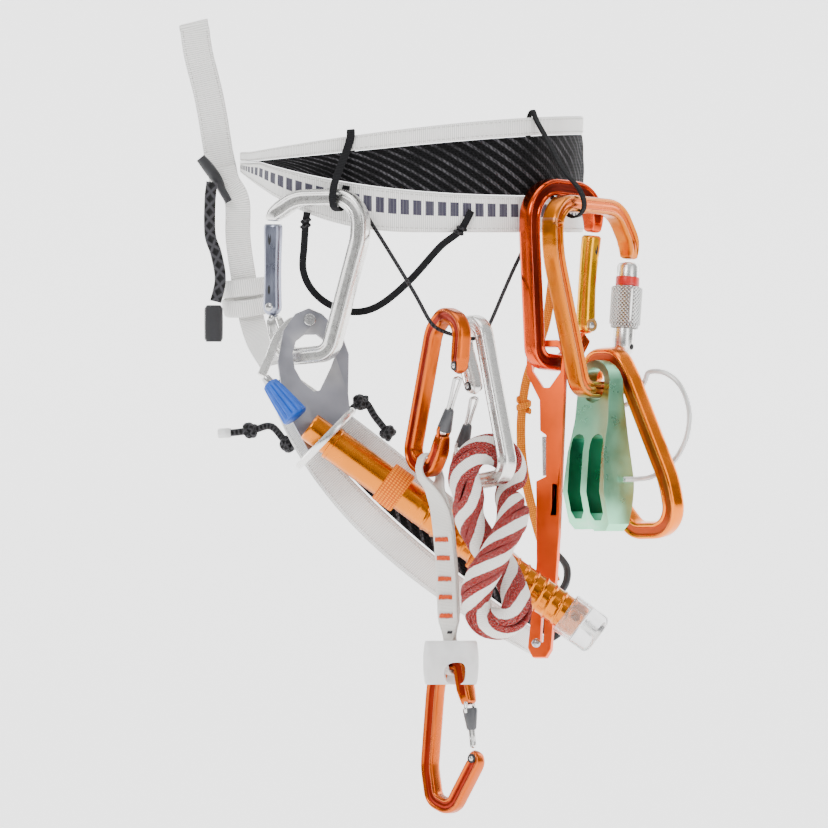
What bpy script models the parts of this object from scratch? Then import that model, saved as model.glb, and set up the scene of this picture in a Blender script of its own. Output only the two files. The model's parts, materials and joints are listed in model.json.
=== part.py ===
"""Climbing harness with racked gear: belt, leg loops, karabiners, ice screw, quickdraw, cord hank.

Metres, +Z up, +X to the wearer's back, -Y to the wearer's left. The origin is where it hangs.
"""
import math

import bmesh
import bpy
from mathutils import Matrix, Vector

for old in list(bpy.data.objects):
    bpy.data.objects.remove(old, do_unlink=True)

MM = 0.001
GAP = 0.4  # running clearance between pieces that touch, mm

# driving dimensions, mm
BELT_X, BELT_A, BELT_B = 121.0, 94.0, 120.0  # middle, half depth, half width
BELT_FRONT, BELT_BACK = 31.0, 213.0
WEB_T = 2.0  # thickness of the white webbing
MESH_T = 1.2
LEG_Y, LEG_B = 65.0, 60.0  # middle of a leg loop and its half width
BAR = 4.7  # half size of a karabiner's bar
TUBE_R, TUBE_BORE, TUBE_L = 10.0, 7.6, 186.0  # ice screw
TUBE_SLOPE = 36.05
TUBE_Y = -139.5
SLING_T = 1.6


def v3(x, y, z):
    return Vector((x, y, z))


def material(name, rgb, rough=0.6, metal=0.0):
    mat = bpy.data.materials.new(name)
    mat.use_nodes = True
    bsdf = mat.node_tree.nodes["Principled BSDF"]
    bsdf.inputs["Base Color"].default_value = (*rgb, 1.0)
    bsdf.inputs["Roughness"].default_value = rough
    bsdf.inputs["Metallic"].default_value = metal
    return mat


WHITE = (0.80, 0.80, 0.78)
BLACK = (0.02, 0.02, 0.022)
STEEL = (0.62, 0.61, 0.59)
GREY = (0.30, 0.31, 0.36)
ORANGE = (0.85, 0.25, 0.03)
RED = (0.60, 0.08, 0.02)
GOLD = (0.75, 0.42, 0.03)
GREEN = (0.12, 0.42, 0.27)
BLUE = (0.02, 0.22, 0.65)
CLEAR = (0.80, 0.80, 0.76)
HOLD = (0.90, 0.40, 0.12)


def emit(name, bm, rgb, rough=0.6, metal=0.0, pivot=None, axis=None):
    """Make the node; a moving one gets its origin on its joint's axis."""
    bmesh.ops.remove_doubles(bm, verts=bm.verts, dist=0.00002 / MM)
    bmesh.ops.recalc_face_normals(bm, faces=bm.faces)
    centre = pivot if pivot is not None else Vector()
    for v in bm.verts:
        v.co = (v.co - centre) * MM
    mesh = bpy.data.meshes.new(name)
    bm.to_mesh(mesh)
    bm.free()
    obj = bpy.data.objects.new(name, mesh)
    obj.location = centre * MM
    bpy.context.collection.objects.link(obj)
    mesh.materials.append(material(name + "_material", rgb, rough, metal))
    return obj


def fillet(points, radii, step=18.0):
    """An open polyline whose inner corners are rounded with the given radii."""
    out = [points[0]]
    for i in range(1, len(points) - 1):
        p, r = points[i], radii[i - 1]
        a, b = (points[i - 1] - p).normalized(), (points[i + 1] - p).normalized()
        half = a.angle(b) / 2
        turn = math.pi - 2 * half
        if r <= 0 or turn < 0.03:
            out.append(p)
            continue
        reach = r / math.tan(half)
        centre = p + (a + b).normalized() * (r / math.sin(half))
        start, end = p + a * reach - centre, p + b * reach - centre
        n = max(1, math.ceil(math.degrees(turn) / step))
        for k in range(n + 1):
            f = k / n
            w1 = math.sin((1 - f) * turn) / math.sin(turn)
            w2 = math.sin(f * turn) / math.sin(turn)
            out.append(centre + start * w1 + end * w2)
    out.append(points[-1])
    return out


def smooth(points, per=6):
    """A Catmull-Rom curve through the points."""
    out = []
    n = len(points)
    for i in range(n - 1):
        p0, p1 = points[max(i - 1, 0)], points[i]
        p2, p3 = points[i + 1], points[min(i + 2, n - 1)]
        for k in range(per):
            t = k / per
            a = 2 * p1 + (p2 - p0) * t
            b = (2 * p0 - 5 * p1 + 4 * p2 - p3) * t * t
            c = (3 * p1 - p0 - 3 * p2 + p3) * t ** 3
            out.append((a + b + c) * 0.5)
    out.append(points[-1])
    return out


def tangents(points, closed=False):
    n = len(points)
    out = []
    for i in range(n):
        if closed:
            a, b = points[i - 1], points[(i + 1) % n]
        else:
            a, b = points[max(i - 1, 0)], points[min(i + 1, n - 1)]
        out.append((b - a).normalized())
    return out


def rings_to_mesh(bm, rings, closed=False):
    """Skin rings of equal length into one closed solid."""
    verts = [[bm.verts.new(p) for p in ring] for ring in rings]
    n, m = len(verts), len(verts[0])
    for i in range(n if closed else n - 1):
        a, b = verts[i], verts[(i + 1) % n]
        for j in range(m):
            bm.faces.new((a[j], a[(j + 1) % m], b[(j + 1) % m], b[j]))
    if not closed:
        for ring in (verts[0], verts[-1]):
            mid = bm.verts.new(sum((v.co for v in ring), Vector()) / m)
            for j in range(m):
                bm.faces.new((ring[j], ring[(j + 1) % m], mid))
    return bm


def band(points, across, width, thick, closed=False):
    """A flat strap: across gives its width direction at each point, or one for all."""
    tan = tangents(points, closed)
    rings = []
    for i, p in enumerate(points):
        side = across[i] if isinstance(across, list) else across
        side = (side - tan[i] * side.dot(tan[i])).normalized()
        flat = tan[i].cross(side).normalized()
        w = (width[i] if isinstance(width, list) else width) / 2
        h = thick / 2
        rings.append([p + side * a + flat * b for a, b in ((-w, -h), (w, -h), (w, h), (-w, h))])
    return rings_to_mesh(bmesh.new(), rings, closed)


def cord(points, radius, sides=8, closed=False):
    """A round cord whose section doesn't twist along the line."""
    tan = tangents(points, closed)
    up = Vector((0, 0, 1)) if abs(tan[0].z) < 0.9 else Vector((1, 0, 0))
    side = tan[0].cross(up).normalized()
    rings = []
    for i, p in enumerate(points):
        side = (side - tan[i] * side.dot(tan[i])).normalized()
        other = tan[i].cross(side)
        r = radius[i] if isinstance(radius, list) else radius
        ring = []
        for k in range(sides):
            a = 2 * math.pi * k / sides
            ring.append(p + side * math.cos(a) * r + other * math.sin(a) * r)
        rings.append(ring)
    return rings_to_mesh(bmesh.new(), rings, closed)


def lathe(start, axis, profile, sides=20):
    """A turned solid: profile is (distance along, radius) pairs; a zero radius closes it."""
    axis = axis.normalized()
    side = axis.orthogonal().normalized()
    other = axis.cross(side)
    bm = bmesh.new()
    rows = []
    for along, r in profile:
        c = start + axis * along
        if r < 1e-6:
            rows.append([bm.verts.new(c)])
            continue
        row = []
        for k in range(sides):
            a = 2 * math.pi * k / sides
            row.append(bm.verts.new(c + side * math.cos(a) * r + other * math.sin(a) * r))
        rows.append(row)
    closed = len(rows[0]) > 1 and len(rows[-1]) > 1
    pairs = list(zip(rows, rows[1:])) + ([(rows[-1], rows[0])] if closed else [])
    for a, b in pairs:
        for j in range(sides):
            k = (j + 1) % sides
            if len(a) == 1 and len(b) > 1:
                bm.faces.new((a[0], b[j], b[k]))
            elif len(b) == 1 and len(a) > 1:
                bm.faces.new((a[j], a[k], b[0]))
            elif len(a) > 1 and len(b) > 1:
                bm.faces.new((a[j], a[k], b[k], b[j]))
    return bm


def prism(outline, place, low, high):
    """A flat outline made solid: place(a, b, c) gives a point, and c runs from low to high."""
    bm = bmesh.new()
    bottom = [bm.verts.new(place(a, b, low)) for a, b in outline]
    top = [bm.verts.new(place(a, b, high)) for a, b in outline]
    n = len(outline)
    for j in range(n):
        k = (j + 1) % n
        bm.faces.new((bottom[j], bottom[k], top[k], top[j]))
    bm.faces.new(bottom)
    bm.faces.new(top)
    bmesh.ops.recalc_face_normals(bm, faces=bm.faces)
    return bm


def combine(base, others, how):
    """Join or cut bmeshes with exact booleans, and give back one bmesh."""
    def holder(bm):
        mesh = bpy.data.meshes.new("tmp")
        bmesh.ops.recalc_face_normals(bm, faces=bm.faces)
        bm.to_mesh(mesh)
        bm.free()
        obj = bpy.data.objects.new("tmp", mesh)
        bpy.context.collection.objects.link(obj)
        return obj

    body = holder(base)
    cutters = []
    for other, kind in zip(others, how):
        cut = holder(other)
        mod = body.modifiers.new("cut", "BOOLEAN")
        mod.operation, mod.solver, mod.object = kind, "EXACT", cut
        cutters.append(cut)
    graph = bpy.context.evaluated_depsgraph_get()
    mesh = bpy.data.meshes.new_from_object(body.evaluated_get(graph))
    out = bmesh.new()
    out.from_mesh(mesh)
    for obj in [body, *cutters]:
        bpy.data.objects.remove(obj, do_unlink=True)
    bpy.data.meshes.remove(mesh)
    return out


# ---------------------------------------------------------------- waist belt
def share(x):
    return min(max((BELT_BACK - x) / (BELT_BACK - BELT_FRONT), 0.0), 1.0)


def top_edge(x):
    return -53.3 - 20.0 * share(x) ** 1.6


def top_band_low(x):
    return top_edge(x) - 10.0 + 5.0 * share(x) ** 3


def low_band_top(x):
    return -98.0 + 20.5 * share(x) ** 2.8


def low_edge(x):
    return -118.0 + 30.0 * max((130.0 - x) / 100.0, 0.0) ** 2.6


def belt_point(turn, out=0.0):
    """A point of the belt's ring: turn is the angle round it, out the offset outwards."""
    c, s = math.cos(turn), math.sin(turn)
    p = Vector((BELT_X + BELT_A * math.copysign(abs(c) ** (2 / 3), c),
                BELT_B * math.copysign(abs(s) ** (2 / 3), s), 0.0))
    grad = Vector(((abs(p.x - BELT_X) / BELT_A) ** 2 / BELT_A * math.copysign(1, c),
                   (abs(p.y) / BELT_B) ** 2 / BELT_B * math.copysign(1, s), 0.0))
    return p + grad.normalized() * out


def belt_y(x, out=0.0):
    """The near side of the belt at depth x."""
    f = min(abs(x - BELT_X) / BELT_A, 1.0)
    return -BELT_B * (1 - f ** 3) ** (1 / 3) - out


def belt_ring(high, low, thick, count=72):
    rings = []
    for i in range(count):
        turn = 2 * math.pi * (i + 0.5) / count
        a, b = belt_point(turn, -thick / 2), belt_point(turn, thick / 2)
        x = (a.x + b.x) / 2
        zt, zb = high(x), low(x)
        rings.append([v3(a.x, a.y, zb), v3(b.x, b.y, zb), v3(b.x, b.y, zt), v3(a.x, a.y, zt)])
    return rings_to_mesh(bmesh.new(), rings, True)


emit("belt_top_band", belt_ring(top_edge, top_band_low, WEB_T), WHITE)
emit("belt_mesh_panel", belt_ring(lambda x: top_band_low(x) - GAP,
                                  lambda x: min(low_band_top(x), top_band_low(x) - 1.2) + GAP,
                                  MESH_T), BLACK)
emit("belt_lower_band", belt_ring(lambda x: min(low_band_top(x), top_band_low(x) - 1.2),
                                  low_edge, WEB_T), WHITE)

# ---------------------------------------------------------------- tie-in loop and front risers
loop_line = [v3(0.5, 0, -6), v3(2.5, 0, -19.4), v3(8.6, 0, -44.4), v3(13.6, 0, -74.0)]
front = smooth([p + v3(0, -4.0, 0) for p in loop_line], 5)
back = smooth([p + v3(0, 4.0, 0) for p in loop_line], 5)
over = [v3(-0.2, 4.0 * math.sin(a), -5.8 + 4.0 * math.cos(a)) for a in (-0.9, 0.0, 0.9)]
under = [v3(16.2, 4.8 * math.sin(a), -84.6 - 4.8 * math.cos(a)) for a in (-1.2, -0.4, 0.4, 1.2)]
ring = over + back + under[::-1] + front[::-1]
emit("tie_in_loop", band(ring, v3(1, 0, 0.25), 16.2, WEB_T - 0.4, True), WHITE)

# two risers run from the front of the belt down to the leg loops
for sign, tag in ((-1, "left"), (1, "right")):
    line = smooth([v3(16.5, sign * 7.5, -82), v3(18.5, sign * 7.5, -90), v3(24.0, sign * 7.5, -101),
                   v3(24.5, sign * 7.5, -122), v3(28, sign * 7.5, -146),
                   v3(32, sign * 7.8, -166), v3(36.5, sign * 22, -180), v3(43, sign * 46, -191)], 5)
    emit("riser_" + tag, band(line, v3(1, 0, 0.15), 14.0, WEB_T), WHITE)

# girth hitch: one wrap of webbing round both risers
wrap = []
for k in range(14):
    a = 2 * math.pi * k / 14
    wrap.append(v3(29.3 + 12.6 * math.cos(a), 13.2 * math.sin(a), -154.0 + 1.5 * math.cos(a)))
emit("girth_hitch", band(wrap, v3(-0.2, 0, 1), 19.0, WEB_T, True), WHITE)

# ---------------------------------------------------------------- lanyard at the front
line = smooth([v3(3.5, -14, -76.5), v3(8, -14, -82), v3(13, -14, -89), v3(16, -14, -95),
               v3(19.4, -14, -101)], 3)
emit("toggle_peg", cord(line, [2.4, 2.9, 3.1, 3.2, 3.2, 3.2, 3.0, 2.8, 2.6, 2.4, 2.2, 2.0, 1.8]), BLACK)
LANYARD = v3(10.0, -20.5, -93.0)
line = smooth([v3(10.0, -20.5, -90.0), v3(8.9, -20.5, -100), v3(8.9, -20.5, -118.9),
               v3(12.3, -20.5, -130), v3(14.6, -20.5, -144), v3(12.0, -20.5, -156.5)], 5)
emit("lanyard_braid", band(line, v3(1, 0, 0.1), 6.6, 2.8), BLACK, pivot=LANYARD)
tip = [v3(10.9, -20.5, -158.6), v3(10.9, -20.5, -160.2), v3(10.9, -20.5, -177), v3(10.9, -20.5, -179)]
emit("lanyard_end_cap", band(tip, v3(1, 0, 0), [8.4, 10.4, 10.4, 9.0], 5.0), BLACK, pivot=LANYARD)

# ---------------------------------------------------------------- leg loops
LOW_EDGE = (v3(41.0, 0, -205.0), v3(70.0, 0, -292.0), v3(190.0, 0, -354.0))
TOP_EDGE = (v3(55.0, 0, -197.0), v3(121.0, 0, -240.0), v3(214.0, 0, -330.0))


def bow(curve, t):
    a, b, c = curve
    return a * (1 - t) ** 2 + b * (2 * t * (1 - t)) + c * t * t


def leg_point(turn, sign, across, out=0.0):
    """A point of a leg loop: turn runs round it, across from its lower to its upper edge."""
    def mid(a):
        t = (1 + math.cos(a)) / 2
        p = bow(LOW_EDGE, t).lerp(bow(TOP_EDGE, t), across)
        return p + v3(0, sign * LEG_Y + LEG_B * math.sin(a), 0)

    t = (1 + math.cos(turn)) / 2
    width = bow(TOP_EDGE, t) - bow(LOW_EDGE, t)
    normal = (mid(turn + 0.01) - mid(turn - 0.01)).cross(width).normalized()
    return mid(turn) + normal * out


def leg_ring(sign, low, high, thick, count=48):
    rings = []
    for i in range(count):
        t = 2 * math.pi * (i + 0.5) / count
        rings.append([leg_point(t, sign, low, -thick / 2), leg_point(t, sign, low, thick / 2),
                      leg_point(t, sign, high, thick / 2), leg_point(t, sign, high, -thick / 2)])
    return rings_to_mesh(bmesh.new(), rings, True)


for sign, tag in ((-1, "left"), (1, "right")):
    emit(f"leg_{tag}_lower_band", leg_ring(sign, 0.0, 0.37, WEB_T), WHITE)
    emit(f"leg_{tag}_mesh", leg_ring(sign, 0.39, 0.69, MESH_T), BLACK)
    emit(f"leg_{tag}_upper_band", leg_ring(sign, 0.71, 1.0, WEB_T), WHITE)
    # knotted closure cord that passes inside the front of the loop
    y = sign * 1.0
    line = smooth([v3(17.5, y * 70, -229.5), v3(24.4, y * 71, -229), v3(34, y * 73, -227.5),
                   v3(43.3, y * 76, -226), v3(53.9, y * 84, -236.5), v3(66, y * 93, -233),
                   v3(80, y * 99, -224), v3(93.3, y * 105, -212), v3(101, y * 107, -221),
                   v3(108.9, y * 108, -231)], 5)
    knots = (5, 15, 20, 35, 44)
    radius = []
    for i in range(len(line)):
        near = min(abs(i - k) for k in knots)
        radius.append(2.1 if near > 1 else (3.4 if near == 1 else 5.0))
    emit(f"leg_{tag}_closure_cord", cord(line, radius), BLACK)
    # elastic riser at the back, from the belt down to the back of the loop
    line = smooth([v3(203.5, y * 72, -111), v3(199, y * 70, -145), v3(195, y * 69, -170),
                   v3(184, y * 69, -203), v3(182, y * 70, -240), v3(190, y * 70, -280),
                   v3(201, y * 69, -312)], 4)
    emit(f"rear_riser_{tag}", band(line, v3(1, 0, 0.3), 5.0, 1.8), ORANGE)
    hook = smooth([v3(201.5, y * 64.5, -296), v3(207, y * 62.5, -304), v3(206.5, y * 64, -313),
                   v3(201, y * 66, -322), v3(206, y * 66, -327)], 3)
    emit(f"rear_hook_{tag}", cord(hook, 2.6), BLACK)

# ---------------------------------------------------------------- gear loops and keeper straps
for sign, tag in ((-1, "left"), (1, "right")):
    def out_y(x, out):
        return -sign * belt_y(x, out)

    pts = [(62.8, -106.8, 3.4), (62.0, -113, 3.4), (61.2, -125.0, 2.0), (60.6, -138.9, 0.0),
           (65.6, -150.0, -3), (75.6, -158.3, -7), (89.5, -162.2, -8), (103.3, -158.3, -7),
           (120.0, -144.5, -3), (136.7, -126.0, 1.6), (147.8, -117.0, 3.4), (154.0, -106.0, 3.4)]
    line = smooth([v3(x, out_y(x, o), z) for x, z, o in pts], 4)
    flat = [t.cross(v3(0, 1, 0)) for t in tangents(line)]
    emit(f"gear_loop_{tag}", band(line, flat, 4.0, 1.3), BLACK)

# strap over the belt that carries the silver karabiner's top bar
line = smooth([v3(84.6, -120.8, -92), v3(83.4, -121.0, -98.5), v3(82.3, -123.0, -103.8),
               v3(80.0, -127.0, -105.7), v3(77.7, -131.2, -103.8), v3(76.9, -133.3, -98.6),
               v3(78, -131.8, -91), v3(81.5, -126.5, -81), v3(85, -121.8, -72),
               v3(87.0, -121.0, -65.0), v3(87.0, -118.1, -61.2), v3(87.0, -114.9, -65.0),
               v3(87.0, -114.8, -74)], 4)
side = [v3(1, 0, 0.1).lerp(v3(0.89, -0.45, 0), min(max((-70 - p.z) / 20, 0.0), 1.0)) for p in line]
emit("keeper_strap_front", band(line, side, 4.6, 1.2), BLACK)

# strap over the belt's top that carries karabiners A and B
line = smooth([v3(185.6, -100.4, -66), v3(185.7, -100.8, -56), v3(188.0, -103.3, -50.4),
               v3(190.4, -106.0, -56), v3(197.0, -112, -68), v3(205.0, -119.0, -83),
               v3(214.0, -124.4, -94.0), v3(216.8, -124.0, -102.3), v3(215.0, -122.7, -107.4),
               v3(211.0, -120.0, -109.5), v3(207.0, -117.3, -107.4), v3(205.0, -114.0, -102.8),
               v3(204.4, -108.0, -101.0), v3(202.0, -101.0, -100.6), v3(198.0, -96.6, -97.0),
               v3(198.2, -95.9, -88)], 3)
emit("keeper_strap_rear", band(line, v3(0.62, 0.77, 0.1), 4.0, 1.2), BLACK)

# thin cord that carries the quickdraw and the silver wire-gate karabiner
line = smooth([v3(95.0, belt_y(95, 3.6), -107), v3(98.0, -124.5, -112), v3(108, -134, -128),
               v3(122, -153, -151), v3(130.5, -167.5, -166.5), v3(134.6, -170.1, -171),
               v3(139.5, -166.7, -173.4), v3(144.4, -163.5, -175.0), v3(150.9, -159.4, -176.6),
               v3(155.8, -156, -177), v3(160.7, -152.6, -175.5), v3(166, -139, -165),
               v3(172, -123, -151), v3(178, -108, -137.5), v3(183.9, -103.6, -126),
               v3(189.0, -102.8, -120.4)], 4)
emit("thin_gear_cord", cord(line, 1.1, 6), BLACK)


# ---------------------------------------------------------------- karabiners
class Plane:
    """An upright plane through (x, y), turned by yaw degrees about Z, addressed by x and z."""

    def __init__(self, x, y, yaw, lean=0.0, z=0.0):
        self.x, self.y, self.z, self.lean = x, y, z, lean
        self.slope = math.tan(math.radians(yaw))
        self.normal = v3(-self.slope, 1.0, -lean).normalized()

    def at(self, x, z):
        return v3(x, self.y + (x - self.x) * self.slope + (z - self.z) * self.lean, z)


def kara_body(name, plane, pts, radii, rgb, half=BAR, depth=None, metal=1.0, pivot=None):
    """The forged bar from the nose round to the hinge end, with a grooved section."""
    depth = depth or half
    line = fillet([plane.at(x, z) for x, z in pts], radii)
    tan = tangents(line)
    rings = []
    for i, p in enumerate(line):
        side = tan[i].cross(plane.normal).normalized()
        n = len(line) - 1
        f = min(1.0, 0.78 + 0.22 * min(i, n - i) / 3)
        w, d = half * f, depth * f
        prof = [(-w, -d * 0.55), (-w * 0.6, -d), (0, -d * 0.72), (w * 0.6, -d), (w, -d * 0.55),
                (w, d * 0.55), (w * 0.6, d), (0, d * 0.72), (-w * 0.6, d), (-w, d * 0.55)]
        rings.append([p + side * a + plane.normal * b for a, b in prof])
    return emit(name, rings_to_mesh(bmesh.new(), rings), rgb, 0.25, metal, pivot=pivot)


def gate_profile(length, r, top=0.0):
    """A gate turned about its own axis: round at the hinge, flat at the nose."""
    prof = [(-r, 0.0)]
    for k in range(1, 4):
        a = math.pi / 2 * k / 3
        prof.append((-r * math.cos(a), r * math.sin(a)))
    prof += [(length - 1.0, r), (length, r * 0.8), (length, 0.0)]
    return prof


def solid_gate(name, hinge, nose, r, rgb, free=0.9):
    axis = nose - hinge
    prof = gate_profile(axis.length - free, r)
    return emit(name, lathe(hinge, axis, prof, 16), rgb, 0.3, 1.0, pivot=hinge)


def wire_gate(name, hinge, cone_at, nose, free=0.9):
    """One stiff wire from the hinge to a black cone that ends just short of the nose."""
    axis = nose - hinge
    total = axis.length - free
    start = (cone_at - hinge).length
    prof = [(-2.0, 0.0), (-1.4, 1.5), (0.0, 2.0), (1.6, 1.5), (start, 1.4), (start + 0.4, 2.9),
            (total - 3.0, 4.2), (total, 4.0), (total, 0.0)]
    return emit(name, lathe(hinge, axis, prof, 12), BLACK, 0.4, 0.2, pivot=hinge)


# big silver karabiner: its bottom bend passes through the hanger of the ice screw
SILVER = Plane(67.0, -120.4, -27.0)
S_HINGE, S_NOSE = SILVER.at(43.6, -159.5), SILVER.at(44.0, -112.5)
kara_body("silver_karabiner_body", SILVER,
          [(44.0, -111.6), (44.0, -108.5), (57.0, -99.0), (92.5, -98.0), (92.3, -121.0),
           (75.5, -185.0), (50.5, -187.5), (44.2, -165.2)],
          [6.0, 22.0, 15.0, 30.0, 9.0, 11.0], STEEL)
solid_gate("silver_karabiner_gate", S_HINGE, S_NOSE, 5.0, GREY)

# karabiner A: plain bent gate
KA = Plane(185.5, -118.0, 43.0)
A_HINGE, A_NOSE = KA.at(217.5, -169.5), KA.at(221.0, -119.0)
kara_body("karabiner_a_body", KA,
          [(221.2, -118.0), (221.8, -112.0), (220.5, -95.5), (186.5, -91.0), (186.5, -120.0),
           (189.5, -189.0), (205.5, -191.0), (216.5, -175.8)],
          [14.0, 16.0, 18.0, 60.0, 9.0, 12.0], RED)
solid_gate("karabiner_a_gate", A_HINGE, A_NOSE, 5.2, GOLD)

# karabiner B: pear shape with a screw sleeve
KB = Plane(211.0, -120.0, 56.0)
B_HINGE, B_NOSE = KB.at(238.4, -181.5), KB.at(241.6, -134.0)
kara_body("karabiner_b_body", KB,
          [(241.4, -132.8), (242.0, -124.0), (234.0, -104.5), (200.0, -101.0), (198.6, -125.0),
           (214.5, -205.0), (235.0, -205.5), (237.9, -188.7)],
          [15.0, 22.0, 14.0, 60.0, 10.0, 9.0], ORANGE, 5.0)
axis = (B_NOSE - B_HINGE).normalized()
reach = (B_NOSE - B_HINGE).length
prof = [(-5.9, 0.0), (-5.1, 3.0), (-3.0, 5.1), (0.0, 5.9), (reach - 2.2, 5.9), (reach - 0.9, 5.0),
        (reach - 0.9, 0.0)]
emit("karabiner_b_gate", lathe(B_HINGE, axis, prof, 20), STEEL, 0.3, 1.0, pivot=B_HINGE)
prof = [(11.0, 6.4), (11.0, 7.6), (13.5, 8.7), (34.0, 8.7), (36.2, 7.6), (36.2, 6.4)]
emit("karabiner_b_sleeve", lathe(B_HINGE, axis, prof, 20), STEEL, 0.3, 1.0, pivot=B_HINGE)

# ---------------------------------------------------------------- belay device and karabiner C
HANG = KB.at(227.5, -205.2)
W_DIR = v3(math.sqrt(0.5), -math.sqrt(0.5), 0)
D_DIR = v3(math.sqrt(0.5), math.sqrt(0.5), 0)


def device(w, z, d):
    return v3(HANG.x, HANG.y, 0) + W_DIR * w + D_DIR * d + v3(0, 0, z)


def arc2(cx, cz, r, a0, a1, n):
    return [(cx + r * math.cos(math.radians(a0 + (a1 - a0) * k / n)),
             cz + r * math.sin(math.radians(a0 + (a1 - a0) * k / n))) for k in range(n + 1)]


outline = [(-15.5, -279), (-12.0, -283), (-3.0, -283), (0.0, -280), (3.0, -284), (12.0, -284),
           (15.5, -280), (16.0, -262), (13.5, -232), (12.4, -210)]
outline += arc2(0, -201.5, 12.6, 10, 170, 8) + [(-12.4, -210), (-13.5, -232), (-16.2, -262)]
shell = prism(outline, device, -18, 12)
leaf = [(-6.5, -188), (0.3, -188), (2.8, -200), (3.8, -212), (5.5, -228), (8.6, -256),
        (7.0, -270), (3.0, -286), (-10.0, -286), (-16.0, -262), (-14.0, -240), (-9.5, -222), (-8.0, -205)]
side = prism(leaf, lambda d, z, w: device(w, z, d), -20, 20)
eye = arc2(0, -201.5, 8.2, 0, 180, 8) + arc2(0, -204.5, 8.2, 180, 360, 6)
slot_a = arc2(-7.4, -235, 5.0, 0, 180, 6) + [(-12.4, -273), (-10, -277), (-5, -277), (-2.4, -273)]
slot_b = arc2(7.4, -235, 5.0, 0, 180, 6) + [(2.4, -274), (5, -278), (10, -278), (12.6, -274)]
cuts = [prism(h, device, -30, 30) for h in (eye, slot_a, slot_b)]
bm = combine(shell, [side, *cuts], ["INTERSECT", "DIFFERENCE", "DIFFERENCE", "DIFFERENCE"])
emit("belay_device_body", bm, GREEN, 0.3, 1.0)

KEEP = device(17.5, -255.2, -1.0)


def loop_at(x, z, d):
    return device((x - HANG.x) / W_DIR.x - d, z, d)


line = smooth([KEEP, device(19.0, -255.0, 8.0), device(18.5, -254.0, 18.0), loop_at(260.0, -250.5, 28.0),
               loop_at(268.0, -243.0, 32.5), loop_at(273.8, -231.0, 33.0), loop_at(275.0, -217.0, 32.0),
               loop_at(270.3, -203.5, 29.0), loop_at(262.0, -196.3, 26.0), loop_at(253.0, -195.6, 22.5),
               device(11.0, -200.5, 21.5), device(6.6, -207.5, 20.0), device(5.6, -213.0, 14.0),
               device(5.6, -214.5, 5.9)], 3)
emit("belay_cable_keeper", cord(line, 1.5, 7), CLEAR, pivot=KEEP)


def c_at(x, z):
    """Karabiner C's plane: parallel to the device's width and leaning back below."""
    d = 10.6 + (-200.0 - z) * 0.17
    return device((x - HANG.x) / W_DIR.x - d, z, d)


class PlaneC:
    normal = (D_DIR + v3(0, 0, 0.17)).normalized()

    @staticmethod
    def at(x, z):
        return c_at(x, z)


C_HINGE, C_NOSE = c_at(224.2, -208.0), c_at(235.2, -262.0)
kara_body("karabiner_c_body", PlaneC,
          [(235.6, -263.8), (237.5, -272.0), (246.0, -283.5), (268.5, -283.0), (264.0, -256.0),
           (242.0, -199.0), (236.0, -186.5), (220.0, -187.0), (222.8, -201.3)],
          [12.0, 12.0, 15.0, 50.0, 16.0, 10.0, 9.0], ORANGE, 4.9)
axis = (C_NOSE - C_HINGE).normalized()
reach = (C_NOSE - C_HINGE).length
prof = [(-5.4, 0.0), (-4.6, 2.8), (-2.7, 4.7), (0.0, 5.4), (reach - 2.2, 5.4), (reach - 0.9, 4.6),
        (reach - 0.9, 0.0)]
emit("karabiner_c_gate", lathe(C_HINGE, axis, prof, 16), STEEL, 0.3, 1.0, pivot=C_HINGE)
prof = [(14.0, 5.9), (14.0, 6.8), (16.0, 7.6), (36.0, 7.6), (38.0, 6.8), (38.0, 5.9)]
emit("karabiner_c_sleeve", lathe(C_HINGE, axis, prof, 16), STEEL, 0.3, 1.0, pivot=C_HINGE)

# ---------------------------------------------------------------- quickdraw
QU = Plane(139.0, -166.0, -55.0)
Q_HINGE, Q_NOSE = QU.at(146.3, -200.0), QU.at(138.6, -229.0)
kara_body("quickdraw_upper_body", QU,
          [(138.3, -230.2), (136.5, -240.0), (131.5, -252.5), (121.0, -243.0), (133.5, -172.0),
           (140.0, -163.0), (149.2, -168.0), (147.2, -196.6)],
          [12.0, 9.0, 9.0, 16.0, 9.0, 10.0], ORANGE, 4.2)
wire_gate("quickdraw_upper_gate", Q_HINGE, QU.at(142.0, -216.5), Q_NOSE)

QL = Plane(143.0, -160.5, -38.0)
L_HINGE, L_NOSE = QL.at(155.0, -402.5), QL.at(153.2, -381.5)
kara_body("quickdraw_lower_body", QL,
          [(153.0, -380.3), (150.8, -371.0), (148.6, -356.9), (136.8, -356.9), (134.2, -372.0),
           (131.0, -415.0), (133.5, -433.0), (143.5, -438.5), (157.0, -412.0), (155.4, -406.0)],
          [10.0, 4.5, 4.5, 30.0, 30.0, 8.0, 7.0, 4.0], ORANGE, 4.2)
wire_gate("quickdraw_lower_gate", L_HINGE, QL.at(154.4, -394.0), L_NOSE)

# sewn sling: one narrow loop of tape round the upper karabiner's bar and the lower one's
E_UP = v3(0.819, 0.574, 0)
E_LOW = v3(0.616, 0.788, 0)
SL = v3(130.2, -153.4, -248.6)
SB = v3(142.8, -160.4, -356.9)
SLING = [(0.0, SL, 6.4), (0.04, v3(131.3, -154.0, -254), 6.2), (0.12, v3(134.0, -155.6, -262.5), 2.2),
         (0.25, v3(138.0, -156.2, -277), 1.1), (0.5, v3(140.6, -156.8, -308), 1.1),
         (0.8, v3(141.8, -159.4, -338), 1.1), (0.9, v3(142.5, -160.2, -347), 2.6),
         (1.0, SB, 6.2)]


def sling_side(sign):
    return [p + E_UP.lerp(E_LOW, f).normalized() * (off * sign) for f, p, off in SLING]


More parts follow.
